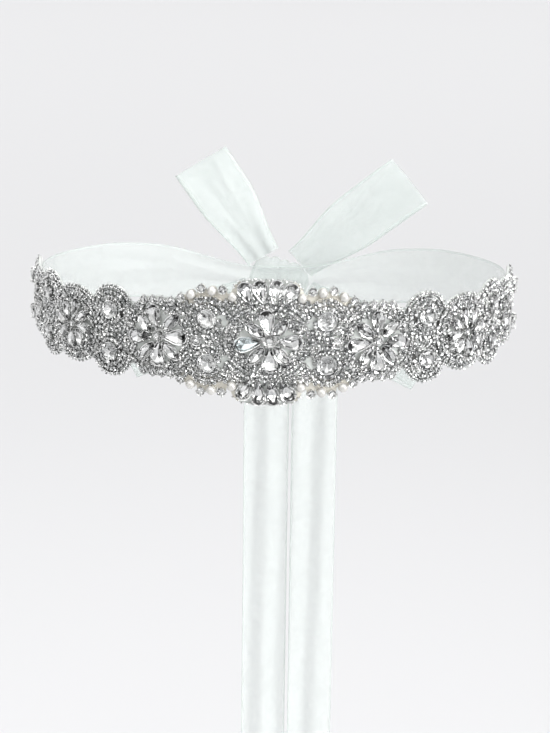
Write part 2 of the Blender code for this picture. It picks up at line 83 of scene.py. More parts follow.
def add_node(tree, kind, inputs=(), **settings):
    """A node with these settings; each input named gets its value, or the socket that feeds it."""
    node = tree.nodes.new(kind)
    for name, setting in settings.items():
        setattr(node, name, setting)
    for socket, value in dict(inputs).items():
        if isinstance(value, bpy.types.NodeSocket):
            tree.links.new(value, node.inputs[socket])
        else:
            node.inputs[socket].default_value = value
    return node


def new_paint(name, inputs):
    """A material with these values on its shader: the material, its node tree and the shader."""
    paint = bpy.data.materials.new(name)
    paint.use_nodes = True
    shader = paint.node_tree.nodes["Principled BSDF"]
    for socket, value in inputs.items():
        shader.inputs[socket].default_value = value
    return paint, paint.node_tree, shader


def in_scene(name, data):
    """A new object with this data, in the scene."""
    made = bpy.data.objects.new(name, data)
    bpy.context.collection.objects.link(made)
    return made


def studio_floor():
    half = FLOOR_REACH
    mesh = bpy.data.meshes.new("studio_floor")
    corners = [(-half, -half), (half, -half), (half, half), (-half, half)]
    mesh.from_pydata([(x, y, FLOOR_HEIGHT) for x, y in corners], [], [(0, 1, 2, 3)])
    values = {"Base Color": FLOOR_TONE, "Roughness": 0.85, "Specular IOR Level": 0.1}
    mesh.materials.append(new_paint("studio floor", values)[0])
    in_scene("studio_floor", mesh)


def studio_walls():
    """The light from everywhere: bright overhead, dim at the walls, with soft patches."""
    world = bpy.data.worlds.new("studio walls")
    world.use_nodes = True
    bpy.context.scene.world = world
    tree = world.node_tree
    looked = add_node(tree, "ShaderNodeTexCoord").outputs["Generated"]
    parts = add_node(tree, "ShaderNodeSeparateXYZ", {0: looked})
    ramp = add_node(tree, "ShaderNodeValToRGB", {"Fac": parts.outputs["Z"]})
    levels = ramp.color_ramp.elements
    levels[0].position = WALL_LEVELS[0][0]
    levels[1].position = WALL_LEVELS[-1][0]
    for position, _ in WALL_LEVELS[1:-1]:
        levels.new(position)
    for element, (_, level) in zip(levels, WALL_LEVELS):
        element.color = (level, level, level, 1.0)
    patches = add_node(tree, "ShaderNodeTexNoise", {"Vector": looked, "Scale": 2.6, "Detail": 1.0})
    ends = {"From Min": 0.42, "From Max": 0.62, "To Min": 0.70, "To Max": 1.30}
    strength = add_node(tree, "ShaderNodeMapRange", {"Value": patches.outputs["Fac"], **ends})
    background = tree.nodes["Background"]
    tree.links.new(ramp.outputs["Color"], background.inputs["Color"])
    tree.links.new(strength.outputs[0], background.inputs["Strength"])


def soft_lights():
    for name, place, aim, width, height, power, spread in SOFT_LIGHTS:
        light = bpy.data.lights.new(name, "AREA")
        light.shape = "RECTANGLE"
        light.size, light.size_y, light.energy = width, height, power
        light.spread = math.radians(spread)
        holder = in_scene(name, light)
        holder.location = place
        holder.rotation_euler = (Vector(aim) - Vector(place)).to_track_quat("-Z", "Y").to_euler()


def sash_camera():
    data = bpy.data.cameras.new("sash camera")
    data.sensor_fit = "VERTICAL"
    data.sensor_height = CAMERA_SENSOR
    data.lens = CAMERA_LENS * CAMERA_SENSOR
    camera = in_scene("sash camera", data)
    level = math.cos(CAMERA_RISE)
    back = Vector(
        (math.sin(CAMERA_YAW) * level, -math.cos(CAMERA_YAW) * level, math.sin(CAMERA_RISE))
    )
    right = (-back).cross(Vector((0.0, 0.0, 1.0))).normalized()
    top = right.cross(-back)
    rolled_right = right * math.cos(CAMERA_ROLL) + top * math.sin(CAMERA_ROLL)
    rolled_top = top * math.cos(CAMERA_ROLL) - right * math.sin(CAMERA_ROLL)
    turned = Matrix((rolled_right, rolled_top, back)).transposed().to_4x4()
    turned.translation = Vector(CAMERA_AIM) + back * CAMERA_DISTANCE
    camera.matrix_world = turned
    bpy.context.scene.camera = camera


studio_floor()
studio_walls()
soft_lights()
sash_camera()
bpy.context.scene.view_settings.view_transform = "Standard"

# --- The ribbon round the waist ------------------------------------------------------------------
# Sheer organza ribbon, 32 mm wide with a woven edge. It lies smooth behind the applique, runs flat
# round both sides, and gathers into fine pleats where it goes under the knot.

WAIST_HALF_WIDTH, WAIST_HALF_DEPTH, WAIST_STEPS = 0.126, 0.092, 1440
RIBBON_WIDTH = 0.032
SEAM_GAP = 0.0003  # between two stretches of the ribbon
BAND_SEAM = 0.165  # how far from the centre front the side bands start
BAND_STEP, RIBBON_COLUMNS = 0.0022, 25
SIDE_RISE, RISE_START, RISE_LENGTH = 0.004, 0.112, 0.045
BACK_DIP, DIP_LENGTH = 0.008, 0.110
KNOT_HALF_WIDTH, KNOT_HALF_HEIGHT, KNOT_HALF_DEPTH = 0.0165, 0.0135, 0.0060
GATHER_HALF_WIDTH, BAND_GATHER_LENGTH = 0.0100, 0.055
PLEAT_HEIGHT, PLEATS = 0.0009, 2.5
ORGANZA_WALL = 0.0002
ORGANZA_INNER = 0.0006  # how far inside the ribbon's outer face the cloth lies
WOVEN_EDGE_FROM, WOVEN_EDGE_TO = 0.455, 0.475  # shares of the width, from its middle
WARP_THREADS, WEFT_THREADS = 620.0, 19000.0  # radians of a sine, over the width and over a metre
THREAD_HEIGHT = 0.0001
COVER, THREAD_COVER, WOVEN_EDGE_COVER, SLUB_COVER = 0.20, 0.06, 0.24, 0.12  # shares of opaque
CREASE_SHARPNESS = 1.3  # how steeply a crease falls off to its two sides
BAND_CREASES = (
    # along from the seam, across from the middle, length, width, height, turn in degrees
    (0.030, 0.0040, 0.030, 0.0018, -0.0011, 4.0),
    (0.052, -0.0070, 0.022, 0.0016, 0.0010, -9.0),
    (0.078, 0.0070, 0.026, 0.0016, 0.0011, -5.0),
    (0.095, 0.0010, 0.032, 0.0018, -0.0014, 5.0),
    (0.112, -0.0060, 0.026, 0.0015, 0.0013, 7.0),
    (0.128, 0.0060, 0.026, 0.0015, -0.0012, -7.0),
    (0.138, -0.0020, 0.022, 0.0014, 0.0010, 2.0),
)


def waist_lengths():
    lengths, before = [0.0], Vector((0.0, -WAIST_HALF_DEPTH))
    for step in range(1, WAIST_STEPS + 1):
        turn = 2.0 * math.pi * step / WAIST_STEPS
        here = Vector((WAIST_HALF_WIDTH * math.sin(turn), -WAIST_HALF_DEPTH * math.cos(turn)))
        lengths.append(lengths[-1] + (here - before).length)
        before = here
    return lengths


WAIST_LENGTHS = waist_lengths()
GIRTH = WAIST_LENGTHS[-1]


def waist_frame(along):
    """(place at the ribbon's outer face, the way outwards, the way along) this far round."""
    along = along % GIRTH
    low = bisect_right(WAIST_LENGTHS, along, hi=WAIST_STEPS) - 1
    share = (along - WAIST_LENGTHS[low]) / (WAIST_LENGTHS[low + 1] - WAIST_LENGTHS[low])
    turn = 2.0 * math.pi * (low + share) / WAIST_STEPS
    x, y = WAIST_HALF_WIDTH * math.sin(turn), -WAIST_HALF_DEPTH * math.cos(turn)
    outwards = Vector((x / WAIST_HALF_WIDTH**2, y / WAIST_HALF_DEPTH**2, 0.0)).normalized()
    return Vector((x, y, 0.0)), outwards, Vector((-outwards.y, outwards.x, 0.0))


def on_waist(along, up, out):
    place, outwards, _ = waist_frame(along)
    return place + outwards * out + Vector((0.0, 0.0, up))


def smooth(share):
    share = min(1.0, max(0.0, share))
    return share * share * (3.0 - 2.0 * share)


def middle_height(along):
    from_back = abs(GIRTH / 2.0 - abs(along))
    rise = SIDE_RISE * smooth((abs(along) - RISE_START) / RISE_LENGTH)
    return rise - (SIDE_RISE + BACK_DIP) * (1.0 - smooth(from_back / DIP_LENGTH))


def fine_pattern(tree, scale, detail=2.0):
    """A soft random pattern that lies still on the piece."""
    place = add_node(tree, "ShaderNodeTexCoord").outputs["Object"]
    values = {"Vector": place, "Scale": scale, "Detail": detail}
    return add_node(tree, "ShaderNodeTexNoise", values).outputs["Fac"]


def two_tones(tree, pattern, dark, light, ends=(0.0, 1.0)):
    """The colour that drifts from dark to light with a pattern."""
    ramp = add_node(tree, "ShaderNodeValToRGB", {"Fac": pattern})
    for element, end, tone in zip(ramp.color_ramp.elements, ends, (dark, light)):
        element.position = end
        element.color = (*tone, 1.0)
    return ramp.outputs["Color"]


def toned_paint(name, dark, light, scale, detail, inputs):
    """A finish that drifts between two tones, with its pattern for other uses."""
    paint, tree, shader = new_paint(name, inputs)
    pattern = fine_pattern(tree, scale, detail)
    tree.links.new(two_tones(tree, pattern, dark, light), shader.inputs["Base Color"])
    return paint, tree, shader, pattern


def raise_surface(tree, shader, height, strength, distance):
    """Makes the light fall as if a pattern stood out of the surface by this distance."""
    values = {"Height": height, "Strength": strength, "Distance": distance}
    bump = add_node(tree, "ShaderNodeBump", values)
    tree.links.new(bump.outputs["Normal"], shader.inputs["Normal"])


def organza_cloth():
    """Sheer plain weave: fine crossed threads, denser at the two woven edges."""
    gloss = {"Roughness": 0.42, "Specular IOR Level": 0.35}
    sheen = {"Sheen Weight": 0.35, "Sheen Roughness": 0.35}
    dark, light = (0.66, 0.73, 0.70), (0.80, 0.85, 0.83)
    cloth, tree, shader, slubs = toned_paint(
        "white organza", dark, light, 55.0, 3.0, {**gloss, **sheen}
    )

    def reckon(operation, *values):
        return add_node(tree, "ShaderNodeMath", enumerate(values), operation=operation).outputs[0]

    # The map's x is the share of the width, from 0 to 1, and its y is the length in metres.
    laid = add_node(tree, "ShaderNodeUVMap", uv_map="cloth")
    parts = add_node(tree, "ShaderNodeSeparateXYZ", {0: laid.outputs["UV"]})
    from_middle = reckon("ABSOLUTE", reckon("SUBTRACT", parts.outputs["X"], 0.5))
    ends = {"From Min": WOVEN_EDGE_FROM, "From Max": WOVEN_EDGE_TO}
    woven_edge = add_node(
        tree, "ShaderNodeMapRange", {"Value": from_middle, **ends}, interpolation_type="SMOOTHSTEP"
    )
    warp = reckon("SINE", reckon("MULTIPLY", parts.outputs["X"], WARP_THREADS))
    weft = reckon("SINE", reckon("MULTIPLY", parts.outputs["Y"], WEFT_THREADS))
    threads = reckon("MULTIPLY", reckon("ADD", warp, weft), 0.5)
    cover = reckon("ADD", COVER, reckon("MULTIPLY", threads, THREAD_COVER))
    cover = reckon("ADD", cover, reckon("MULTIPLY", woven_edge.outputs[0], WOVEN_EDGE_COVER))
    cover = reckon("ADD", cover, reckon("MULTIPLY", slubs, SLUB_COVER))
    tree.links.new(cover, shader.inputs["Alpha"])
    raise_surface(tree, shader, threads, 0.25, THREAD_HEIGHT)
    return cloth


organza = organza_cloth()


def worn_piece(name, mesh, wall=0.0):
    """A piece of the sash, held by the body's root; a cloth gets its thickness inwards."""
    piece = in_scene(name, mesh)
    if wall:
        cloth = piece.modifiers.new("wall", "SOLIDIFY")
        cloth.thickness = wall
        cloth.offset = -1.0
    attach(piece, "root")
    return piece


def ribbon_piece(name, node, rows, length, held, **rests):
    """A grid of cloth through rows of points, each from one woven edge to the other."""
    columns = len(rows[0])
    mesh = bpy.data.meshes.new(name)
    faces, uvs = [], []
    for row in range(len(rows) - 1):
        for column in range(columns - 1):
            corners = ((row, column), (row, column + 1), (row + 1, column + 1), (row + 1, column))
            faces.append([r * columns + c for r, c in corners])
            uvs += [(c / (columns - 1), length * r / (len(rows) - 1)) for r, c in corners]
    mesh.from_pydata([point for row in rows for point in row], [], faces)
    layer = mesh.uv_layers.new(name="cloth")
    for loop, uv in zip(layer.data, uvs):
        loop.uv = uv
    mesh.shade_smooth()
    mesh.materials.append(organza)
    piece = worn_piece(name, mesh, ORGANZA_WALL)
    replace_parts(piece, node)


def creased(along, across, creases):
    """How far a place stands out because of the creases laid over it, in metres."""
    out = 0.0
    for at_along, at_across, length, width, height, turn in creases:
        cosine, sine = math.cos(math.radians(turn)), math.sin(math.radians(turn))
        x = (along - at_along) * cosine + (across - at_across) * sine
        y = (across - at_across) * cosine - (along - at_along) * sine
        out += height * math.exp(-((x / length) ** 2) - abs(y / width) ** CREASE_SHARPNESS)
    return out


def gather(distance, gather_length, full_half_width):
    """(half width, height of the pleats) this far from where the ribbon is gathered."""
    share = smooth(distance / gather_length)
    half_width = GATHER_HALF_WIDTH + (full_half_width - GATHER_HALF_WIDTH) * share
    return half_width, PLEAT_HEIGHT * (1.0 - share)


def across_ribbon():
    """Shares of the half width, from the lower woven edge to the upper one."""
    return [2.0 * column / (RIBBON_COLUMNS - 1) - 1.0 for column in range(RIBBON_COLUMNS)]


def band(name, start, end, length):
    rows = []
    steps = round(abs(end - start) / BAND_STEP)
    for number in range(steps + 1):
        along = start + (end - start) * number / steps
        to_knot = max(0.0, GIRTH / 2.0 - abs(along) - KNOT_HALF_WIDTH)
        half_width, pleat = gather(to_knot, BAND_GATHER_LENGTH, RIBBON_WIDTH / 2.0)
        row = []
        for share in reversed(across_ribbon()):
            fold = pleat * (math.cos(PLEATS * math.pi * (share + 1.0)) - 1.0)
            if abs(along) > BAND_SEAM:
                fold += creased(abs(along) - BAND_SEAM, share * half_width, BAND_CREASES)
            up = share * half_width + middle_height(along)
            row.append(on_waist(along, up, fold - ORGANZA_INNER))
        rows.append(row)
    ribbon_piece(name, name, rows, length, "stretched")


back_seam = GIRTH / 2.0 - SEAM_GAP / 2.0
side_length = back_seam - BAND_SEAM - SEAM_GAP
band("band_front", -BAND_SEAM, BAND_SEAM, 2.0 * BAND_SEAM)
band("band_right", BAND_SEAM + SEAM_GAP, back_seam, side_length)
band("band_left", -back_seam, -BAND_SEAM - SEAM_GAP, side_length)

# --- The bow -------------------------------------------------------------------------------------
# The same ribbon, tied behind in a flat loose bow: a knot wound once round, two loops to each
# side, and two tails that hang in soft flutes to their slanted ends.

KNOT_DEPTH = KNOT_HALF_DEPTH + SEAM_GAP
KNOT_ROUNDNESS, KNOT_TILT, KNOT_SPREAD = 2.6, math.radians(-18.0), 0.985
KNOT_RIBBON_LENGTH, KNOT_STATIONS, KNOT_SIDES = 0.062, 64, 72
LOOP_PUFF, LOOP_LAYER, LOOP_LIFT = 0.009, 0.0012, 0.009
LOOP_GATHER_LENGTH, LOOP_STATIONS = 0.042, 85
# The loops' creases are this share of what is given, and in full from this share of the way out.
LOOP_CREASE_DEPTH, LOOP_CREASES_FROM = 0.8, 0.25
TAIL_LENGTH, TAIL_VISIBLE_WIDTH, TAIL_FLUTE, TAIL_HIP = 0.50, 0.027, 0.0024, 0.016
TAIL_GATHER_LENGTH, TAIL_TOP_DEPTH, TAIL_DEPTH, TAIL_COVERED = 0.060, 0.0022, 0.0065, 0.020
TAIL_FLUTES, TAIL_FLUTE_DRIFT, TAIL_HIP_SHARE = 1.5, 3.0, 0.6
TAIL_SLANT, TAIL_SLANT_POWER = 0.018, 6
TAIL_STATIONS, TAIL_STATION_POWER = 150, 1.25  # they lie closer together near the knot
TAIL_INNER = 0.0003  # how far inside the tail's outer face the cloth lies

BOW_LOOPS = (
    # name, direction in degrees from +X up to +Z, length
    ("bow_loop_upper_right", 41.0, 0.094),
    ("bow_loop_upper_left", 122.0, 0.082),
    ("bow_loop_lower_left", 207.0, 0.096),
    ("bow_loop_lower_right", -30.0, 0.096),
)
LOOP_CREASES = (
    # along the ribbon, across, length, width, height, turn in degrees
    (0.034, 0.0035, 0.022, 0.0016, 0.0014, 7.0),
    (0.042, -0.0050, 0.026, 0.0015, -0.0013, -6.0),
    (0.052, 0.0085, 0.018, 0.0014, 0.0010, 10.0),
    (0.064, -0.0010, 0.014, 0.0016, 0.0011, -14.0),
    (0.082, 0.0040, 0.006, 0.0050, 0.0010, 50.0),
    (0.100, 0.0060, 0.022, 0.0016, -0.0013, -8.0),
    (0.116, -0.0040, 0.024, 0.0015, 0.0013, 6.0),
    (0.130, 0.0010, 0.018, 0.0014, -0.0011, -4.0),
)
TAILS = (
    # name, top below the knot's middle, top across, lower end across, share of the length, phase
    ("tail_right", 0.0117, 0.0108, 0.0225, 1.00, 0.0),
    ("tail_left", 0.0128, -0.0108, -0.0062, 0.96, 1.9),
)
TAIL_CREASES = (
    # along, across, length, width, height, turn in degrees
    (0.058, 0.0030, 0.034, 0.0016, 0.0012, 3.0),
    (0.070, -0.0050, 0.030, 0.0015, -0.0011, -4.0),
    (0.150, -0.0050, 0.050, 0.0020, -0.0011, -2.0),
    (0.178, 0.0020, 0.005, 0.0160, 0.0010, 10.0),
    (0.230, 0.0060, 0.045, 0.0018, 0.0010, 3.0),
    (0.290, 0.0010, 0.060, 0.0020, -0.0011, 2.0),
    (0.352, -0.0010, 0.005, 0.0150, -0.0009, -9.0),
    (0.420, -0.0040, 0.050, 0.0018, 0.0011, -3.0),
    (0.465, 0.0050, 0.030, 0.0018, -0.0010, 4.0),
)
KNOT_FOLDS = (
    # share of the knot's width, how far it wanders round the knot, its phase, width, depth
    (-0.62, 0.10, 0.4, 0.085, 0.10),
    (-0.20, 0.16, 1.5, 0.110, 0.14),
    (0.24, 0.14, 2.4, 0.090, 0.12),
    (0.66, 0.08, 0.9, 0.080, 0.09),
)


def behind(across, up, depth):
    """A place at the back, across towards +X and up from the knot's middle."""
    return on_waist(GIRTH / 2.0 - across, up - BACK_DIP, depth)


def knot_reach(direction):
    """How far the knot reaches from its middle in a direction, which is where a loop starts."""
    power = KNOT_ROUNDNESS / (KNOT_ROUNDNESS - 1.0)
    across = KNOT_HALF_WIDTH * abs(math.cos(direction - KNOT_TILT))
    up = KNOT_HALF_HEIGHT * abs(math.sin(direction - KNOT_TILT))
    return (across**power + up**power) ** (1.0 / power)


def bow_loop(name, direction, length):
    """The ribbon runs out from the knot, turns over and comes back on top of itself."""
    root = knot_reach(direction) + SEAM_GAP
    run = length - root
    rows = []
    for station in range(LOOP_STATIONS):
        turn = math.pi * station / (LOOP_STATIONS - 1)
        share = math.sin(turn) ** 2
        reach = root + run * share
        half_width, pleat = gather(reach - root, LOOP_GATHER_LENGTH, RIBBON_WIDTH / 2.0)
        puff = (LOOP_LAYER + LOOP_PUFF * share) * math.cos(turn)
        middle = KNOT_DEPTH + LOOP_LIFT * share * share
        travelled = 2.0 * run * station / (LOOP_STATIONS - 1)
        depth_of_creases = LOOP_CREASE_DEPTH * smooth(share / LOOP_CREASES_FROM)
        row = []
        for edge in reversed(across_ribbon()):
            fold = pleat * math.cos(PLEATS * math.pi * (edge + 1.0))
            fold += depth_of_creases * creased(travelled, edge * half_width, LOOP_CREASES)
            across = reach * math.cos(direction) - edge * half_width * math.sin(direction)
            up = reach * math.sin(direction) + edge * half_width * math.cos(direction)
            row.append(behind(across, up, middle - puff + fold))
        rows.append(row)
    ribbon_piece(name, name, rows, 2.0 * run, "folded", rests_on=["knot"])


def tail(name, top, top_across, low_across, share_of_length, phase):
    """The ribbon hangs from under the knot, gathered at first and then in soft flutes."""
    length = TAIL_LENGTH * share_of_length
    rows = []
    for station in range(TAIL_STATIONS):
        share = (station / (TAIL_STATIONS - 1)) ** TAIL_STATION_POWER
        fallen = length * share
        opened = smooth(fallen / TAIL_GATHER_LENGTH)
        free = smooth((fallen - TAIL_COVERED) / TAIL_GATHER_LENGTH)
        half_width, pleat = gather(fallen, TAIL_GATHER_LENGTH, TAIL_VISIBLE_WIDTH / 2.0)
        middle = top_across + (low_across - top_across) * opened
        depth = TAIL_TOP_DEPTH + (TAIL_DEPTH - TAIL_TOP_DEPTH) * free
        depth += TAIL_HIP * free * smooth(share / TAIL_HIP_SHARE)
        drift = phase + TAIL_FLUTE_DRIFT * share
        row = []
        for edge in across_ribbon():
            wave = TAIL_FLUTE * free * math.cos(TAIL_FLUTES * math.pi * edge + drift)
            fold = pleat * (math.cos(PLEATS * math.pi * (edge + 1.0)) - 1.0)
            fold += free * creased(fallen, edge * half_width, TAIL_CREASES)
            slant = TAIL_SLANT * 0.5 * (edge + 1.0) * share**TAIL_SLANT_POWER
            place = behind(0.0, -top - fallen + slant, depth + wave + fold - TAIL_INNER)
            place.x += middle + edge * half_width
            row.append(place)
        rows.append(row)
    ribbon_piece(name, name, rows, length, "hung", rests_on=["knot"])


def knot_place(across, up, depth):
    cosine, sine = math.cos(KNOT_TILT), math.sin(KNOT_TILT)
    return behind(across * cosine - up * sine, across * sine + up * cosine, depth)


def knot():
    """The ribbon wound once round: it runs up over the front and back down behind."""
    rows = []
    for side in range(KNOT_SIDES + 1):
        turn = math.pi + 2.0 * math.pi * side / KNOT_SIDES
        cosine, sine = math.cos(turn), math.sin(turn)
        rounded = abs(cosine) ** KNOT_ROUNDNESS + abs(sine) ** KNOT_ROUNDNESS
        reach = rounded ** (-1.0 / KNOT_ROUNDNESS)
        row = []
        for station in range(KNOT_STATIONS + 1):
            share = KNOT_SPREAD * (2.0 * station / KNOT_STATIONS - 1.0)
            fullness = (1.0 - abs(share) ** KNOT_ROUNDNESS) ** (1.0 / KNOT_ROUNDNESS)
            for across, wander, phase, width, deep in KNOT_FOLDS:
                from_fold = share - across - wander * math.sin(turn + phase)
                fullness *= 1.0 - deep * math.exp(-((from_fold / width) ** 2))
            depth = KNOT_DEPTH + KNOT_HALF_DEPTH * fullness * reach * cosine
            up = KNOT_HALF_HEIGHT * fullness * reach * sine
            row.append(knot_place(KNOT_HALF_WIDTH * share, up, depth))
        rows.append(row)
    length = KNOT_RIBBON_LENGTH
    ribbon_piece("knot_ribbon", "knot", rows, length, "gathered", rests_on=["band_left"])


knot()
for name, direction, length in BOW_LOOPS:
    bow_loop(name, math.radians(direction), length)
for tail_row in TAILS:
    tail(*tail_row)

# --- The applique's backing ----------------------------------------------------------------------
# A stiff scalloped patch of felt covered in silver-white satin, cream at its edge above and below
# the centre, and sewn flat on the ribbon. Everything else of the applique is set or sewn on it.

MM = 0.001  # the applique's own sizes are given in millimetres
APPLIQUE_BACK, APPLIQUE_RIM, APPLIQUE_BED = 0.3, 1.4, 1.9  # heights over the ribbon, in mm
LOBES = (
    # along, up, radius in mm: the same again on the other side, and below
    (0.0, 21.0, 12.0),
    (6.5, 21.0, 12.0),
    (11.0, 24.8, 7.6),
    (21.0, 13.0, 12.0),
    (30.0, 12.5, 12.5),
    (40.0, 11.5, 12.0),
    (56.3, 0.0, 21.4),
    (83.5, 11.5, 13.0),
    (108.5, 0.0, 20.8),
    (131.0, 10.5, 12.5),
    (149.5, 0.0, 18.5),
    (168.0, 9.0, 11.8),
    (172.0, 0.0, 10.0),
)
EDGE_PEARLS = ((17.4, 23.2), (27.8, 25.8), (38.6, 23.4))
EDGE_CHATONS = (
    (22.6, 26.6),
    (33.3, 26.8),
    (43.9, 21.4),
    (49.0, 19.0),
    (54.0, 18.9),
    (59.0, 18.9),
    (64.0, 18.4),
)
PEARL_RADIUS, CHATON_RADIUS, PEARL_EDGE = 2.5, 2.0, 0.5
BACKING_INSET = 0.55  # the beads of the edge are sewn over the backing's rim by this much
BACKING_STEP, BACKING_LEAST, OUTLINE_LEAST = 1.6, 0.5, 0.05  # between places of the outline
# The backing's faces meet at its edge and on a net of this step, as far as this up and along.
NET_STEP, NET_CLEAR, NET_HALF_HEIGHT, NET_HALF_LENGTH = 4.5, 1.2, 36.0, 184.0
CREAM_FROM, CREAM_TO, CREAM_HEIGHT = 14.0, 46.0, 19.0  # where the satin's edge is cream
CREAM = (0.72, 0.69, 0.62, 1.0)


def both_sides(value):
    """The signs that mirror a value, or one sign where it lies on the mirror."""
    return (-1.0, 1.0) if value else (1.0,)


def mirrored(along, up):
    """A place and its mirror images, to the other side and below."""
    return [(side * along, height * up) for side in both_sides(along) for height in both_sides(up)]


def all_lobes():
    rows = list(LOBES)
    rows += [(along, up, PEARL_RADIUS + PEARL_EDGE) for along, up in EDGE_PEARLS]
    rows += [(along, up, CHATON_RADIUS + PEARL_EDGE) for along, up in EDGE_CHATONS]
    return [(side * along, up, radius) for along, up, radius in rows for side in both_sides(along)]


lobes = all_lobes()


def outline_height(along, inset=0.0):
    """How far up the scalloped edge reaches, this far along."""
    reach = [
        up + math.sqrt((radius - inset) ** 2 - (along - middle) ** 2)
        for middle, up, radius in lobes
        if abs(along - middle) < radius - inset
    ]
    return max(reach, default=0.0)


def applique_outline(step, least, inset=0.0):
    """The scalloped edge, anticlockwise from the right tip, as flat places in millimetres."""
    upper = []
    for middle, up, full_radius in lobes:
        radius = full_radius - inset
        steps = math.ceil(math.pi * radius / step)
        for number in range(steps + 1):
            turn = math.pi * number / steps
            along, height = middle + radius * math.cos(turn), up + radius * math.sin(turn)
            if height > outline_height(along, inset) - 1e-6 and height > least:
                upper.append((along, height))
    tip = max(middle + radius for middle, _, radius in lobes) - inset
    upper.sort(key=lambda place: -place[0])
    kept = [(tip, 0.0)]
    for before, place in zip(upper, upper[1:]):
        if math.dist(before, place) > OUTLINE_LEAST and math.dist(place, kept[-1]) > least:
            kept.append(place)
    kept.append((-tip, 0.0))
    return kept + [(along, -up) for along, up in reversed(kept[1:-1])]


def on_sash(along, up, out):
    """A place on the applique, from millimetres on the flat."""
    along *= MM
    return on_waist(along, up * MM + middle_height(along), out * MM)


def satin_cloth():
    """Silver-white satin over the stiff backing: a soft gloss and a very fine twill."""
    values = {"Roughness": 0.38, "Sheen Weight": 0.3, "Metallic": 0.25}
    cloth, tree, shader = new_paint("backing satin", values)
    dark, light = (0.52, 0.54, 0.52), (0.68, 0.70, 0.68)
    silvery = two_tones(tree, fine_pattern(tree, 260.0), dark, light, (0.3, 0.7))
    cream = add_node(tree, "ShaderNodeAttribute", attribute_name="cream").outputs["Fac"]
    # A Mix node of colours takes its share at input 0 and its two colours at 6 and 7.
    dyed = add_node(tree, "ShaderNodeMix", {0: cream, 6: silvery, 7: CREAM}, data_type="RGBA")
    tree.links.new(dyed.outputs[2], shader.inputs["Base Color"])
    place = add_node(tree, "ShaderNodeTexCoord").outputs["Object"]
    values = {"Vector": place, "Scale": 900.0, "Distortion": 1.5}
    twill = add_node(tree, "ShaderNodeTexWave", values)
    raise_surface(tree, shader, twill.outputs["Fac"], 0.3, 0.0001)
    return cloth


def felt_cloth():
    """The stiff white felt that the satin is laid over, seen from inside the waist."""
    dark, light = (0.62, 0.62, 0.61), (0.86, 0.86, 0.85)
    values = {"Roughness": 0.9, "Sheen Weight": 0.5}
    felt, tree, shader, fibres = toned_paint("white felt", dark, light, 900.0, 4.0, values)
    raise_surface(tree, shader, fibres, 0.5, 0.0002)
    return felt


def net(taken):
    """Places on an even net inside the backing, clear of the points already taken."""
    places = []
    row_height = NET_STEP * math.sqrt(3.0) / 2.0
    rows, columns = int(NET_HALF_HEIGHT / row_height), int(NET_HALF_LENGTH / NET_STEP)
    for row in range(-rows, rows + 1):
        for column in range(-columns, columns + 1):
            along = column * NET_STEP + (NET_STEP / 2.0 if row % 2 else 0.0)
            up = row * row_height
            if abs(up) > outline_height(along, BACKING_INSET) - NET_CLEAR:
                continue
            if all(math.dist((along, up), other) > NET_CLEAR for other in taken):
                places.append((along, up))
    return places


def keep_shape(shape, mesh):
    """Turns the faces of a shape outwards and keeps it as this mesh."""
    bmesh.ops.recalc_face_normals(shape, faces=shape.faces)
    shape.to_mesh(mesh)
    shape.free()


def satin_backing():
    outline = applique_outline(BACKING_STEP, BACKING_LEAST, BACKING_INSET)
    edges = [(i, (i + 1) % len(outline)) for i in range(len(outline))]
    flat = [Vector(place) for place in outline + net(outline)]
    made, _, faces, origins, _, _ = delaunay_2d_cdt(flat, edges, [], 1, 1e-5)
    patch = bmesh.new()
    cream = patch.verts.layers.float.new("cream")
    front, back, rim = [], [], {}
    for place, origin in zip(made, origins):
        on_edge = bool(origin) and origin[0] < len(outline)
        height = APPLIQUE_RIM if on_edge else APPLIQUE_BED
        front.append(patch.verts.new(on_sash(place.x, place.y, height)))
        in_the_zone = CREAM_FROM < abs(place.x) < CREAM_TO and abs(place.y) > CREAM_HEIGHT
        front[-1][cream] = 1.0 if in_the_zone else 0.0
        back.append(patch.verts.new(on_sash(place.x, place.y, APPLIQUE_BACK)))
        if on_edge:
            rim[origin[0]] = len(front) - 1
    for face in faces:
        patch.faces.new([front[corner] for corner in face])
        patch.faces.new([back[corner] for corner in reversed(face)]).material_index = 1
    for corner in range(len(outline)):
        here, there = rim[corner], rim[(corner + 1) % len(outline)]
        patch.faces.new((front[here], back[here], back[there], front[there]))
    mesh = bpy.data.meshes.new("applique_backing")
    keep_shape(patch, mesh)
    mesh.materials.append(satin_cloth())
    mesh.materials.append(felt_cloth())
    mesh.shade_smooth()
    mesh.set_sharp_from_angle(angle=math.radians(50.0))
    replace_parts(worn_piece("applique_backing", mesh), "applique")


satin_backing()

# --- The large rhinestones -----------------------------------------------------------------------
# Clear glass stones, foiled behind so that each facet of the back throws the light out again. Pears
# and marquises make the flowers, pears alone the two fans, and round ones sit between them. Each is
# held in a silver cup by claws bent over its edge.

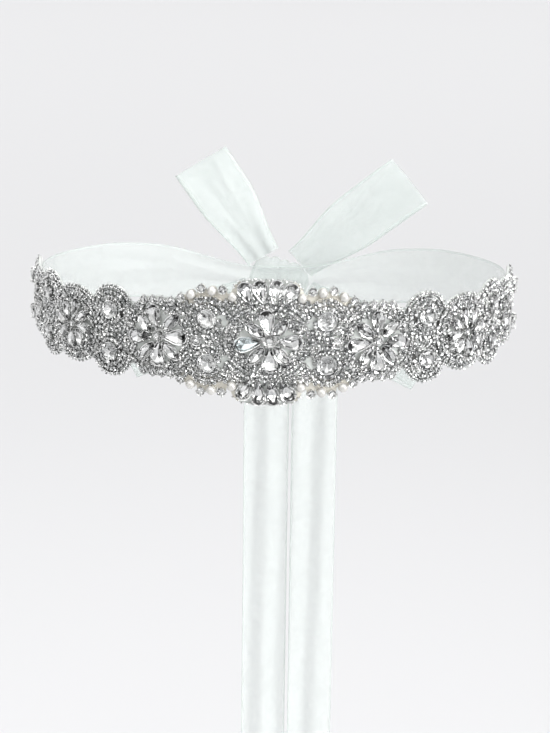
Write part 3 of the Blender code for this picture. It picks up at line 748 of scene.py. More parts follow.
FLOWERS = (
    # along, up, scale, turn in degrees, radius kept clear of small stones and its stretch along
    (0.0, 0.8, 1.00, 0.0, 12.4, 1.12),
    (56.3, 0.0, 1.00, 0.0, 13.6, 1.00),
    (108.5, 0.0, 0.88, 10.0, 11.0, 1.00),
    (149.5, 0.0, 0.68, 0.0, 9.0, 1.00),
)
HAND_SET = {
    # flower's place along: its eye, then the inner and the outer end of each petal, a pear and a
    # marquise by turns, anticlockwise from the pear on its +X side
    0.0: (
        (1.4, 1.0),
        (4.6, 1.1, 17.7, 0.5),
        (3.0, 4.0, 10.3, 11.8),
        (0.6, 4.3, 0.0, 17.0),
        (-1.5, 2.2, -9.9, 10.6),
        (-2.6, 0.2, -16.2, -1.2),
        (-1.4, -2.2, -9.3, -11.2),
        (1.0, -2.4, 1.9, -15.0),
        (3.2, -1.9, 11.1, -10.4),
    ),
    -56.3: (
        (-56.0, 0.8),
        (-53.4, 0.7, -40.6, 0.8),
        (-53.3, 4.2, -44.2, 12.2),
        (-56.4, 4.0, -58.6, 16.6),
        (-58.9, 2.6, -67.5, 10.6),
        (-59.2, 0.2, -72.0, -1.2),
        (-58.2, -2.9, -65.4, -12.6),
        (-55.9, -2.0, -55.3, -14.8),
        (-52.9, -2.3, -44.9, -11.4),
    ),
    56.3: (
        (56.3, 0.2),
        (59.3, -0.2, 72.3, -0.7),
        (58.9, 2.9, 67.4, 10.6),
        (56.5, 3.1, 55.7, 15.9),
        (53.6, 2.2, 45.0, 10.0),
        (53.3, -0.6, 40.2, -1.6),
        (53.8, -2.7, 46.4, -12.4),
        (56.0, -3.0, 55.9, -16.0),
        (58.5, -2.4, 66.0, -11.9),
    ),
}
PEAR, MARQUISE = (12.6, 8.1), (11.4, 5.6)  # length, width, in mm
PEAR_START, MARQUISE_START = 2.7, 3.9  # how far an even flower's petals start from its centre
FLOWER_EYE, CENTRE_EYE = 2.0, 2.5  # radius of the round stone in a flower's middle
EYE_LIFT, EYE_TURN = 0.5, 0.39  # over the petals, and in radians
GAP_REACH = 5.2  # how far from a flower's eye a bead sits between two petals
FAN_PEARS = (
    # inner along, inner up, outer along, outer up, width
    (-8.3, 20.3, -12.3, 31.0, 7.9),
    (-2.4, 20.5, -3.9, 32.3, 7.7),
    (3.7, 20.4, 4.8, 32.4, 7.7),
    (8.8, 20.6, 13.6, 30.4, 7.9),
    (-7.8, -19.0, -13.2, -29.4, 8.0),
    (-3.2, -19.6, -4.5, -32.2, 7.8),
    (1.7, -19.4, 4.2, -32.2, 7.8),
    (7.1, -19.5, 13.2, -29.8, 8.0),
)
ROUND_RADIUS = 4.5
ROUNDS = (
    # along, up, radius, radius of the ring of small stones, height against the others
    (30.0, 11.5, 4.6, 7.6, 1.0),
    (35.4, 0.0, 2.7, 0.0, 0.9),
    (83.5, 11.0, 4.5, 7.6, 1.0),
    (131.0, 10.2, 4.3, 7.5, 1.0),
    (168.0, 10.0, 4.3, 7.2, 1.45),
    (164.5, 0.0, 1.9, 0.0, 0.8),
    (172.5, 0.0, 2.4, 0.0, 0.9),
)
GIRDLE_HEIGHT = 3.9  # over the ribbon: the height at which a large stone is widest
PEAR_FULLNESS, PEAR_TAPER, MARQUISE_POINT = 0.80, 0.62, 1.35
CROWN, GLASS_FOOT, FOIL_GAP = 0.85, 2.0, 0.15  # height of a stone over its girdle, and depth
TABLE_SHARE, FINE_TABLE_SHARE, FOOT_SHARE = 0.70, 0.56, 0.93  # against the girdle's outline
FINE_RING_SHARE, FINE_RING_HEIGHT = 0.84, 0.62  # of a crown with a second ring of facets
CUP_LIP = 0.45  # how far a cup's lip stands out round its stone
MIRROR_SHARE, MIRROR_TOP, LIP_TOP, WALL_SHARE = 0.985, 0.10, 0.08, 0.98
FACET_SPAN = 2  # sides of the outline to each facet of the mirror
CLAW = (0.75, 0.85, 1.15)  # width, rise over the stone's edge, reach inwards
COATED_PEAR = (-10.0, -0.5)  # near the middle of the one coated stone


def directions(sides, phase=0.0):
    return [2.0 * math.pi * (side + phase) / sides for side in range(sides)]


def pear_outline(sides):
    """One of length and width 1, its round end towards +X."""
    return [
        (
            0.5 * math.cos(angle),
            PEAR_FULLNESS * 0.5 * math.sin(angle) * (1.0 + PEAR_TAPER * math.cos(angle)),
        )
        for angle in directions(sides)
    ]


def marquise_outline(sides):
    return [
        (
            0.5 * math.cos(angle),
            math.copysign(0.5 * abs(math.sin(angle)) ** MARQUISE_POINT, math.sin(angle)),
        )
        for angle in directions(sides)
    ]


def round_outline(sides, phase=0.0):
    return [(0.5 * math.cos(angle), 0.5 * math.sin(angle)) for angle in directions(sides, phase)]


def shrunk(outline, share):
    """The same outline, drawn in towards its middle."""
    return [(x * share, y * share) for x, y in outline]


def solid_of(levels):
    """A closed solid through rings of the same number of points, each (outline, height)."""
    count = len(levels[0][0])
    points = [(x, y, height) for outline, height in levels for x, y in outline]
    faces = [tuple(reversed(range(count)))]
    for level in range(len(levels) - 1):
        for corner in range(count):
            after = (corner + 1) % count
            here, there = level * count, (level + 1) * count
            faces.append((here + corner, here + after, there + corner))
            faces.append((here + after, there + after, there + corner))
    faces.append(tuple(range((len(levels) - 1) * count, len(levels) * count)))
    return points, faces


def template(name, points, faces, size):
    """A shape that is set many times, made once at its real size in metres."""
    length, width = size
    mesh = bpy.data.meshes.new(name)
    mesh.from_pydata([(x * length * MM, y * width * MM, z * MM) for x, y, z in points], [], faces)
    shape = bmesh.new()
    shape.from_mesh(mesh)
    keep_shape(shape, mesh)
    return bpy.data.objects.new(name, mesh)


def glass_template(name, outline, size, crown=CROWN, foot=GLASS_FOOT, turned=None):
    """One stone; where a turned outline is given, its crown has a second, finer ring of facets."""
    levels = [(shrunk(outline, FOOT_SHARE), -foot), (outline, 0.0)]
    if turned:
        levels.append((shrunk(turned, FINE_RING_SHARE), crown * FINE_RING_HEIGHT))
    levels.append((shrunk(outline, FINE_TABLE_SHARE if turned else TABLE_SHARE), crown))
    return template(name, *solid_of(levels), size)


def foil_template(name, outline, culets, size, lip, foot, belt=None):
    """The cup that holds a stone: a faceted mirror inside, from every second corner of the outline
    down to its culets, each (along, depth), and a plain lip and wall outside. A belt, (share,
    depth), breaks the mirror's facets in two, its corners between those above."""
    length, width = size
    count = len(outline)
    points = [(x * MIRROR_SHARE, y * MIRROR_SHARE, -MIRROR_TOP) for x, y in outline]
    corners = list(range(0, count, FACET_SPAN))
    faces = [
        tuple(reversed([(corner + step) % count for step in range(FACET_SPAN + 1)]))
        for corner in corners
    ]
    if belt:
        share, depth = belt
        inner = shrunk([outline[corner + FACET_SPAN // 2] for corner in corners], share)
        points += [(x, y, -depth) for x, y in inner]
        belted = list(range(count, count + len(corners)))
        for number, corner in enumerate(corners):
            after = (number + 1) % len(corners)
            faces.append((corner, corners[after], belted[number]))
            faces.append((belted[number], corners[after], belted[after]))
        corners = belted
    first = len(points)
    points += [(x, 0.0, -depth) for x, depth in culets]
    nearest = []
    for number, corner in enumerate(corners):
        after = corners[(number + 1) % len(corners)]
        middle = (points[corner][0] + points[after][0]) / 2.0
        nearest.append(min(range(len(culets)), key=lambda culet: abs(culets[culet][0] - middle)))
        faces.append((corner, after, first + nearest[-1]))
    for number, corner in enumerate(corners):
        if nearest[number] != nearest[number - 1]:
            faces.append((corner, first + nearest[number], first + nearest[number - 1]))
    start = len(points)
    wall = start + count
    across, up = 1.0 + 2.0 * lip / length, 1.0 + 2.0 * lip / width
    points += [(x * across, y * up, LIP_TOP) for x, y in outline]
    points += [(x * WALL_SHARE, y * WALL_SHARE, -foot) for x, y in outline]
    for corner in range(count):
        after = (corner + 1) % count
        faces.append((corner, after, start + after, start + corner))
        faces.append((start + corner, start + after, wall + after, wall + corner))
    faces.append(tuple(range(wall, wall + count)))
    return template(name, points, faces, size)


def claw_template(name, outline, corners, size, claw):
    """The claws of one cup, bent over the stone's edge at these corners of its outline."""
    length, breadth = size
    width, rise, reach = claw
    stations = (
        # inwards from the stone's edge, height, share of the width, thickness
        (-0.30, -1.7, 1.0, 0.30),
        (-0.34, 0.0, 1.0, 0.34),
        (-0.05, 0.72 * rise, 0.92, 0.34),
        (reach, rise, 0.45, 0.22),
    )
    points, faces = [], []
    for corner in corners:
        x, y = outline[corner][0] * length, outline[corner][1] * breadth
        # A claw points to a place on the stone's long axis, and one at its end along that axis.
        middle = Vector((0.0, 0.0)) if abs(y) < 1e-6 else Vector((x * 0.6, 0.0))
        inwards = (middle - Vector((x, y))).normalized()
        side = Vector((-inwards.y, inwards.x))
        start = len(points)
        for inward, height, share, wall in stations:
            over = height > 0.0
            # its two lower edges, then the two upper ones, which lie closer together
            for across, lift in ((-0.5, 0.0), (0.5, 0.0), (0.32, wall), (-0.32, wall)):
                flat = Vector((x, y)) + inwards * inward + side * (across * width * share)
                flat -= inwards * lift * (0.5 if over else 1.0)
                tall = height + lift if over else height
                points.append((flat.x / length, flat.y / breadth, tall))
        for here in range(start, start + 12, 4):
            for edge in range(4):
                after = (edge + 1) % 4
                faces.append((here + edge, here + after, here + 4 + after, here + 4 + edge))
        faces.append(tuple(range(start, start + 4)))
        faces.append(tuple(range(start + 12, start + 16)))
    return template(name, points, faces, size)


def clear_glass():
    values = {"Base Color": (1.0, 1.0, 1.0, 1.0), "Transmission Weight": 1.0, "IOR": 1.55}
    paint, tree, shader = new_paint("clear cut glass", values)
    smears = fine_pattern(tree, 400.0)
    ends = {"From Min": 0.45, "From Max": 0.9, "To Min": 0.0, "To Max": 0.05}
    polish = add_node(tree, "ShaderNodeMapRange", {"Value": smears, **ends})
    tree.links.new(polish.outputs[0], shader.inputs["Roughness"])
    return paint


def foil_metal():
    paint, tree, shader = new_paint("silver foil", {"Metallic": 1.0, "Roughness": 0.05})
    place = add_node(tree, "ShaderNodeTexCoord").outputs["Object"]
    cells = add_node(tree, "ShaderNodeTexVoronoi", {"Vector": place, "Scale": 320.0})
    tone = two_tones(tree, cells.outputs["Color"], (0.55, 0.56, 0.56), (0.97, 0.97, 0.96))
    tree.links.new(tone, shader.inputs["Base Color"])
    return paint


def setting_metal():
    dark, light = (0.52, 0.52, 0.51), (0.80, 0.80, 0.79)
    paint, tree, shader, wear = toned_paint(
        "silver settings", dark, light, 700.0, 3.0, {"Metallic": 1.0}
    )
    values = {"Value": wear, "To Min": 0.12, "To Max": 0.34}
    polish = add_node(tree, "ShaderNodeMapRange", values)
    tree.links.new(polish.outputs[0], shader.inputs["Roughness"])
    return paint


def coated_glass():
    """The same glass with a faint blue-green tint, for the one stone whose thin coating glints so.
    """
    coated = glass.copy()
    coated.name = "coated cut glass"
    shader = coated.node_tree.nodes["Principled BSDF"]
    shader.inputs["Base Color"].default_value = (0.88, 0.975, 1.0, 1.0)
    return coated


glass, foil, silver = clear_glass(), foil_metal(), setting_metal()


def new_tree(name, **inputs):
    """A node tree with these inputs besides its geometry and its finish, and their sockets."""
    tree = bpy.data.node_groups.new(name, "GeometryNodeTree")
    for label, kind in {"Geometry": "Geometry", "Finish": "Material", **inputs}.items():
        tree.interface.new_socket(label, in_out="INPUT", socket_type="NodeSocket" + kind)
    tree.interface.new_socket("Geometry", in_out="OUTPUT", socket_type="NodeSocketGeometry")
    return tree, add_node(tree, "NodeGroupInput").outputs


def end_tree(tree, made, finish):
    """Ends a tree with plain faces that carry their finish."""
    real = add_node(tree, "GeometryNodeRealizeInstances", {0: made})
    values = {"Geometry": real.outputs[0], "Material": finish}
    finished = add_node(tree, "GeometryNodeSetMaterial", values)
    add_node(tree, "NodeGroupOutput", {0: finished.outputs[0]})


def setting_tree():
    """Sets a shape at each point, facing out of the sash and turned to its own heading."""
    tree, given = new_tree(
        "set on the sash", Shape="Object", Size="Float", Tilt="Float", Seed="Int"
    )

    def read(label):
        kind = "GeometryNodeInputNamedAttribute"
        node = add_node(tree, kind, {"Name": label}, data_type="FLOAT_VECTOR")
        return node.outputs["Attribute"]

    turn = add_node(
        tree,
        "FunctionNodeAxesToRotation",
        {"Primary Axis": read("facing"), "Secondary Axis": read("heading")},
        primary_axis="Z",
        secondary_axis="X",
    )
    lowest = add_node(tree, "ShaderNodeMath", {0: given["Tilt"], 1: -1.0}, operation="MULTIPLY")
    values = {"Min": lowest.outputs[0], "Max": given["Tilt"], "Seed": given["Seed"]}
    lean = add_node(tree, "FunctionNodeRandomValue", values, data_type="FLOAT_VECTOR")
    leaning = add_node(tree, "FunctionNodeEulerToRotation", {0: lean.outputs["Value"]})
    values = {"Rotation": turn.outputs[0], "Rotate By": leaning.outputs[0]}
    turned = add_node(tree, "FunctionNodeRotateRotation", values, rotation_space="LOCAL")
    values = {0: read("size"), "Scale": given["Size"]}
    grown = add_node(tree, "ShaderNodeVectorMath", values, operation="SCALE")
    shape = add_node(tree, "GeometryNodeObjectInfo", {"Object": given["Shape"]})
    values = {
        "Points": given["Geometry"],
        "Instance": shape.outputs["Geometry"],
        "Rotation": turned.outputs[0],
        "Scale": grown.outputs[0],
    }
    setting = add_node(tree, "GeometryNodeInstanceOnPoints", values)
    end_tree(tree, setting.outputs[0], given["Finish"])
    return tree


set_on_sash = setting_tree()


def made_by(tree, carrier_mesh, name, values):
    """The plain mesh that a node tree makes from a carrier."""
    carrier = in_scene(name + "_carrier", carrier_mesh)
    modifier = carrier.modifiers.new(name, "NODES")
    modifier.node_group = tree
    for item in tree.interface.items_tree:
        if item.in_out == "INPUT" and item.name in values:
            modifier[item.identifier] = values[item.name]
    evaluated = carrier.evaluated_get(bpy.context.evaluated_depsgraph_get())
    mesh = bpy.data.meshes.new_from_object(evaluated)
    mesh.name = name
    carrier.modifiers.remove(modifier)
    bpy.data.objects.remove(carrier)
    return mesh


def set_pieces(name, shape, places, finish, tilt=0.0, seed=1, smooth_shaded=False):
    """One piece of many equal shapes. A place is (along, up, out, heading, size), in mm."""
    carrier_mesh = bpy.data.meshes.new(name + "_places")
    points, labels = [], {"facing": [], "heading": [], "size": []}
    for along, up, out, heading, size in places:
        points.append(on_sash(along, up, out))
        round_waist = along * MM
        _, outwards, sideways = waist_frame(round_waist)
        rise = middle_height(round_waist + MM) - middle_height(round_waist - MM)
        sideways = (sideways + Vector((0.0, 0.0, rise / (2.0 * MM)))).normalized()
        upwards = outwards.cross(sideways)
        labels["facing"].extend(outwards)
        labels["heading"].extend(sideways * math.cos(heading) + upwards * math.sin(heading))
        labels["size"].extend(size if hasattr(size, "__len__") else (size, size, size))
    carrier_mesh.from_pydata(points, [], [])
    for label, values in labels.items():
        attribute = carrier_mesh.attributes.new(label, "FLOAT_VECTOR", "POINT")
        attribute.data.foreach_set("vector", values)
    bpy.context.collection.objects.link(shape)
    values = {"Shape": shape, "Finish": finish, "Size": 1.0, "Tilt": tilt, "Seed": seed}
    mesh = made_by(set_on_sash, carrier_mesh, name, values)
    for label in labels:
        if label in mesh.attributes:
            mesh.attributes.remove(mesh.attributes[label])
    bpy.context.collection.objects.unlink(shape)
    if smooth_shaded:
        mesh.shade_smooth()
    worn_piece(name, mesh)


def stone_place(ends, width, full_size, tall):
    """A stone from its inner to its outer end, as set_pieces takes it."""
    inner_along, inner_up, outer_along, outer_up = ends
    heading = math.atan2(outer_up - inner_up, outer_along - inner_along)
    size = (math.dist(ends[:2], ends[2:]) / full_size[0], width / full_size[1], tall)
    middle = (inner_along + outer_along) / 2.0, (inner_up + outer_up) / 2.0
    return (*middle, GIRDLE_HEIGHT, heading, size)


def even_flower(along, up, scale, turn):
    """The eye, and the inner and the outer end of each petal, of a flower that is set evenly."""
    petals = []
    for petal in range(8):
        start, length = (PEAR_START, PEAR[0]) if petal % 2 == 0 else (MARQUISE_START, MARQUISE[0])
        heading = math.radians(45.0 * petal + turn)
        x, y = scale * math.cos(heading), scale * math.sin(heading)
        inner, outer = start, start + length
        petals.append((along + inner * x, up + inner * y, along + outer * x, up + outer * y))
    return ((along, up), *petals)


def flower_places():
    """The places of all the pears, marquises and eyes, and of the gaps between the petals' ends."""
    pears, marquises, eyes, gaps = [], [], [], []
    for along, up, scale, turn, _, _ in FLOWERS:
        for side in both_sides(along):
            even = even_flower(side * along, up, scale, side * turn)
            eye, *petals = HAND_SET.get(side * along, even)
            radius = FLOWER_EYE * scale if along else CENTRE_EYE
            eyes.append((*eye, GIRDLE_HEIGHT + EYE_LIFT, EYE_TURN, radius / CENTRE_EYE))
            tall = 0.4 + 0.6 * scale  # smaller petals lose less in height than in width
            for ends in petals[::2]:
                pears.append(stone_place(ends, PEAR[1] * scale, PEAR, tall))
            for ends in petals[1::2]:
                marquises.append(stone_place(ends, MARQUISE[1] * scale, MARQUISE, tall))
            headings = [math.atan2(ends[3] - eye[1], ends[2] - eye[0]) for ends in petals]
            reach = GAP_REACH * scale
            for here, there in zip(headings, headings[1:] + headings[:1]):
                heading = here + (there - here) % (2.0 * math.pi) / 2.0
                x, y = reach * math.cos(heading), reach * math.sin(heading)
                gaps.append((eye[0] + x, eye[1] + y))
    for *ends, width in FAN_PEARS:
        pears.append(stone_place(ends, width, PEAR, 1.0))
    return pears, marquises, eyes, gaps


def set_stones(
    name, places, outline, size, culets, corners, belt=None, turned=None, tilt=0.0,
    crown=CROWN, foot=GLASS_FOOT, lip=CUP_LIP, claw=CLAW, finish=glass,
):
    """Stones of one shape: their glass, their foiled cups and their claws, a piece of each."""
    stone = glass_template(name, outline, size, crown, foot, turned)
    cup = foil_template(name + " cup", outline, culets, size, lip, foot + FOIL_GAP, belt)
    claws = claw_template(name + " claws", outline, corners, size, claw)
    set_pieces(name + "_stones", stone, places, finish, tilt)
    set_pieces(name + "_cups", cup, places, foil, tilt)
    set_pieces(name + "_claws", claws, places, silver, tilt)


pears, marquises, eyes, petal_gaps = flower_places()
rounds = [
    (
        *place,
        APPLIQUE_BED + GLASS_FOOT * tall,
        0.0,
        (radius / ROUND_RADIUS, radius / ROUND_RADIUS, tall),
    )
    for along, up, radius, _, tall in ROUNDS
    for place in mirrored(along, up)
]
coated = min(pears, key=lambda place: math.dist(place[:2], COATED_PEAR))
fan_pears = pears[-len(FAN_PEARS):]
flower_pears = [place for place in pears[:-len(FAN_PEARS)] if place is not coated]
PEAR_SETS = (
    # name, places, finish, culets, belt
    ("pear", flower_pears, glass, ((-0.16, 1.00), (0.12, 1.40)), (0.74, 0.62)),
    ("coated_pear", [coated], coated_glass(), ((-0.20, 0.75), (0.14, 1.25)), None),
    ("upper_fan", fan_pears[:4], glass, ((-0.16, 1.20), (0.12, 1.65)), (0.58, 1.00)),
    ("lower_fan", fan_pears[4:], glass, ((-0.16, 1.70), (0.12, 1.90)), (0.58, 1.40)),
)
PEAR_CLAWS, MARQUISE_CLAWS, ROUND_CLAWS = (2, 5, 8, 11, 14), (0, 6, 2, 4, 8, 10), (2, 6, 10, 14)
for name, places, finish, culets, belt in PEAR_SETS:
    set_stones(
        name, places, pear_outline(16), PEAR, culets, PEAR_CLAWS, belt, tilt=0.12, finish=finish
    )
set_stones(
    "marquise", marquises, marquise_outline(12), MARQUISE, ((-0.10, 1.05), (0.12, 1.05)),
    MARQUISE_CLAWS, (0.72, 0.48), tilt=0.14, claw=(0.6, 0.85, 1.15),
)
set_stones(
    "round", rounds, round_outline(16), (2.0 * ROUND_RADIUS, 2.0 * ROUND_RADIUS), ((0.04, 1.90),),
    ROUND_CLAWS, (0.60, 0.80), round_outline(16, 0.5), tilt=0.08,
)
set_stones(
    "flower_eye", eyes, round_outline(16), (2.0 * CENTRE_EYE, 2.0 * CENTRE_EYE), ((0.0, 0.75),),
    ROUND_CLAWS, (0.55, 0.55), round_outline(16, 0.5), crown=0.7, foot=1.6, lip=0.3,
    claw=(0.6, 0.7, 0.8),
)

# --- The small rhinestones -----------------------------------------------------------------------
# Cup chain and single stones, 2.1 mm and less across, in four-clawed silver cups on bases whose
# near-black is painted shade between the stones. They ring the large stones and the flowers in
# rows, and fill the rest of the backing.

SMALL_RADIUS, BETWEEN_RADIUS, BEAD_RADIUS = 1.04, 0.82, 0.60
SMALL_GIRDLE, SMALL_TILT = 3.0, 0.40
SMALL_UNEVEN, SMALL_TALL = 0.4, (0.7, 1.3)  # in height over the ribbon, and in tallness
SMALL_CROWN, SMALL_CULET = 0.36, 0.42  # height over the girdle and depth, against the radius
SMALL_FOOT, SMALL_FOIL_GAP, SMALL_LIP = 1.1, 0.1, 0.12
BEADED_FROM, ROW_INSET = 72.0, 1.85  # from this far along, a row of beads follows the edge
CENTRE_RING, CENTRE_RING_UP = (20.9, 18.2), 0.8
FLOWER_RINGS = (
    # along, radius of each row round the flower
    (56.3, (18.9,)),
    (108.5, (15.9, 18.5)),
    (149.5, (11.6, 14.1, 16.6)),
)
INNER_RING, OUTER_RING, OUTER_CENTRE_RING = -0.9, 1.6, 2.5  # against the first ring's radius
# Stones in a ring: their pitch against the radius, how close they come, how far from the edge.
RING_PITCH, RING_CLOSENESS, RING_FROM_EDGE = 2.05, 0.93, 2.2
BARE_PATCHES = (
    # along, up, radius: satin that is left to show
    (21.6, 9.4, 2.0),
    (23.0, 12.3, 1.5),
)
PAINTED_SHADE_GAPS = (
    # along, up, radius: painted shade by the round stones, a near-black plate with no stone on it
    (76.6, 9.4, 1.2),
    (90.2, 7.0, 1.0),
    (123.8, 8.6, 0.9),
    (138.0, 8.0, 1.0),
)
OPEN_MARGIN, STONE_MARGIN = 0.4, 0.2
FAN_REACH, FAN_FOOT = 17.0, 24.5  # the fans' half width, and the height at which they start
CORD_ARCS = (
    # centre along and up, radius, first and last direction in degrees: four by the mirrors
    (30.0, 11.5, 11.8, 42.0, 128.0),
)
CORD_MARGIN, CORD_ENDS = 0.7, 6.0  # within its radius, and past its ends in degrees
PEAR_COVER = ((0.16, 0.50), (-0.08, 0.40), (-0.27, 0.24), (-0.42, 0.12))  # share along, radius
MARQUISE_COVER = ((0.0, 0.5), (0.2, 0.42), (-0.2, 0.42), (0.38, 0.2), (-0.38, 0.2))
TRY_STEP, TRY_COLUMNS, TRY_ROWS = 0.35, 520, 100  # the places that are tried for the filling
# The filling follows the edge in rows: the first one's inset, their pitch against the radius, how
# far a stone strays from its row, and how far it stays from the edge.
FILL_INSET, FILL_PITCH, FILL_WOBBLE, FILL_FROM_EDGE = 1.0, 1.85, 0.30, 0.8
SQUARE = 8.0  # side of the squares of cloth by which the marks are kept
BASE_SHARE, BASE_THICKNESS = 1.22, 0.16  # a base's radius against its stone's
EYE_PLATE, GAP_PLATE = 4.4, 0.9  # radius under an eye, and how far it reaches past a dark gap
GAP_PLATE_OUT, BASE_OUT, EYE_PLATE_OUT = 2.03, 2.05, 2.10  # over the ribbon


def large_marks():
    """Round marks that cover the large stones, for the small ones to keep clear of."""
    marks = []
    petals = (pears, PEAR, PEAR_COVER), (marquises, MARQUISE, MARQUISE_COVER)
    for places, full_size, cover in petals:
        for along, up, _, heading, size in places:
            length, width = full_size[0] * size[0], full_size[1] * size[1]
            for share, reach in cover:
                x = along + share * length * math.cos(heading)
                y = up + share * length * math.sin(heading)
                marks.append((x, y, reach * width))
    for along, up, radius, _, _ in ROUNDS:
        marks += [(*place, radius + STONE_MARGIN) for place in mirrored(along, up)]
    marks += [(*place, PEARL_RADIUS) for row in EDGE_PEARLS for place in mirrored(*row)]
    chaton = CHATON_RADIUS + STONE_MARGIN
    marks += [(*place, chaton) for row in EDGE_CHATONS for place in mirrored(*row)]
    marks += [(along, up, CENTRE_EYE * size + STONE_MARGIN) for along, up, _, _, size in eyes]
    marks += [(*place, BEAD_RADIUS) for place in petal_gaps]
    return marks


def in_a_flower(along, up):
    """Whether a place lies in a flower or a fan, where only large stones are set."""
    if abs(along) < FAN_REACH and abs(up) > FAN_FOOT:
        return True
    return any(
        math.hypot((along - side * middle) / stretch, up - centre_up) < clear
        for middle, centre_up, _, _, clear, stretch in FLOWERS
        for side in (-1.0, 1.0)
    )


def beyond_a_cord(along, up):
    """Whether a place lies outside a couched cord, where the cream edge is left bare."""
    for middle, centre_up, radius, first, last in CORD_ARCS:
        across, high = abs(along) - middle, abs(up) - centre_up
        turn = math.degrees(math.atan2(high, across))
        if first - CORD_ENDS < turn < last + CORD_ENDS:
            if math.hypot(across, high) > radius - CORD_MARGIN:
                return True
    return False


class Spread:
    """What is set on the applique already, as round marks kept by squares of the cloth."""

    def __init__(self, marks):
        self.squares = {}
        for mark in marks:
            self.add(*mark)

    def square(self, along, up):
        return math.floor(along / SQUARE), math.floor(up / SQUARE)

    def add(self, along, up, radius):
        self.squares.setdefault(self.square(along, up), []).append((along, up, radius))

    def free(self, along, up, radius, closeness):
        column, row = self.square(along, up)
        for x in (column - 1, column, column + 1):
            for y in (row - 1, row, row + 1):
                for other_along, other_up, other in self.squares.get((x, y), ()):
                    apart = math.hypot(along - other_along, up - other_up)
                    if apart < (radius + other) * closeness:
                        return False
        return True


outline = applique_outline(0.7, 0.2)
edge_tree = KDTree(len(outline))
for number, (along, up) in enumerate(outline):
    edge_tree.insert((along, up, 0.0), number)
edge_tree.balance()


def small_places():
    """The small stones, the smaller stones between them, and the beads in the last gaps."""
    spread = Spread(large_marks())
    stones, between, beads = [], [], []

    def add(chosen, along, up, radius, closeness, from_edge):
        if abs(up) > outline_height(along) or in_a_flower(along, up):
            return
        if edge_tree.find((along, up, 0.0))[2] < from_edge or beyond_a_cord(along, up):
            return
        place = abs(along), abs(up)
        for *middle, bare in BARE_PATCHES + PAINTED_SHADE_GAPS:
            if math.dist(place, middle) < bare + OPEN_MARGIN:
                return
        if spread.free(along, up, radius, closeness):
            spread.add(along, up, radius)
            chosen.append((along, up))

    def ring(along, up, across, high):
        both = 3.0 * (across + high)
        around = math.pi * (both - math.sqrt((3.0 * across + high) * (across + 3.0 * high)))
        count = round(around / (RING_PITCH * SMALL_RADIUS))
        for number in range(count):
            turn = 2.0 * math.pi * (number + 0.5) / count
            place = along + across * math.cos(turn), up + high * math.sin(turn)
            add(stones, *place, SMALL_RADIUS, RING_CLOSENESS, RING_FROM_EDGE)

    def rings_round_stones(wider):
        for along, up, _, reach, _ in ROUNDS:
            if reach:
                for place in mirrored(along, up):
                    ring(*place, reach + wider, reach + wider)

    for number, (along, up) in enumerate(outline):
        if abs(along) > BEADED_FROM:
            ahead = outline[(number + 1) % len(outline)]
            step = Vector((ahead[0] - along, ahead[1] - up)).normalized() * ROW_INSET
            place = along - step.y, up + step.x
            add(beads, *place, BEAD_RADIUS, RING_CLOSENESS, ROW_INSET - 0.3)
    ring(0.0, CENTRE_RING_UP, *CENTRE_RING)
    rings_round_stones(INNER_RING)
    for along, reaches in FLOWER_RINGS:
        for side in (-1.0, 1.0):
            for reach in reaches:
                ring(side * along, 0.0, reach, reach)
    ring(0.0, CENTRE_RING_UP, *(reach + OUTER_CENTRE_RING for reach in CENTRE_RING))
    rings_round_stones(OUTER_RING)
    nearby = []
    for row in range(-TRY_ROWS, TRY_ROWS + 1):
        for column in range(-TRY_COLUMNS, TRY_COLUMNS + 1):
            along, up = TRY_STEP * column, TRY_STEP * row
            if abs(up) < outline_height(along):
                _, number, distance = edge_tree.find((along, up, 0.0))
                nearby.append((along, up, number, distance))
    for chosen, radius, closeness in (
        (stones, SMALL_RADIUS, 0.96),
        (between, BETWEEN_RADIUS, 0.95),
        (beads, BEAD_RADIUS, 0.93),
    ):
        rows = []
        for along, up, number, distance in nearby:
            inwards = distance - radius - FILL_INSET
            row = round(inwards / (FILL_PITCH * radius))
            if row >= 0 and abs(inwards - row * FILL_PITCH * radius) < FILL_WOBBLE:
                rows.append((row, number, along, up))
        for _, _, along, up in sorted(rows):
            add(chosen, along, up, radius, closeness, radius + FILL_FROM_EDGE)
    return stones, between, beads


def small_setting(name, radius, crown, depth, foot):
    """A small stone's glass, and its cup with four short claws."""
    size = (2.0 * radius, 2.0 * radius)
    stone = glass_template(name, round_outline(8), size, crown=crown, foot=foot - SMALL_FOIL_GAP)
    cup = foil_template(name + " cup", round_outline(8), ((0.10, depth),), size, SMALL_LIP, foot)
    stations = (
        # outwards, sideways, height: two corners at the wall, the claw's back and its tip
        (radius * 0.95, -0.38, -0.45),
        (radius * 0.95, 0.38, -0.45),
        (radius + 0.30, 0.0, crown * 0.9),
        (radius - 0.46, 0.0, crown + 0.24),
    )
    shape = bmesh.new()
    shape.from_mesh(cup.data)
    for turn in directions(4, 0.5):
        out = Vector((math.cos(turn), math.sin(turn), 0.0))
        side = Vector((-out.y, out.x, 0.0))
        made = [
            shape.verts.new((out * reach + side * across + Vector((0.0, 0.0, height))) * MM)
            for reach, across, height in stations
        ]
        for a, b, c in ((0, 1, 2), (0, 2, 3), (2, 1, 3), (1, 0, 3)):
            shape.faces.new((made[a], made[b], made[c]))
    keep_shape(shape, cup.data)
    return stone, cup


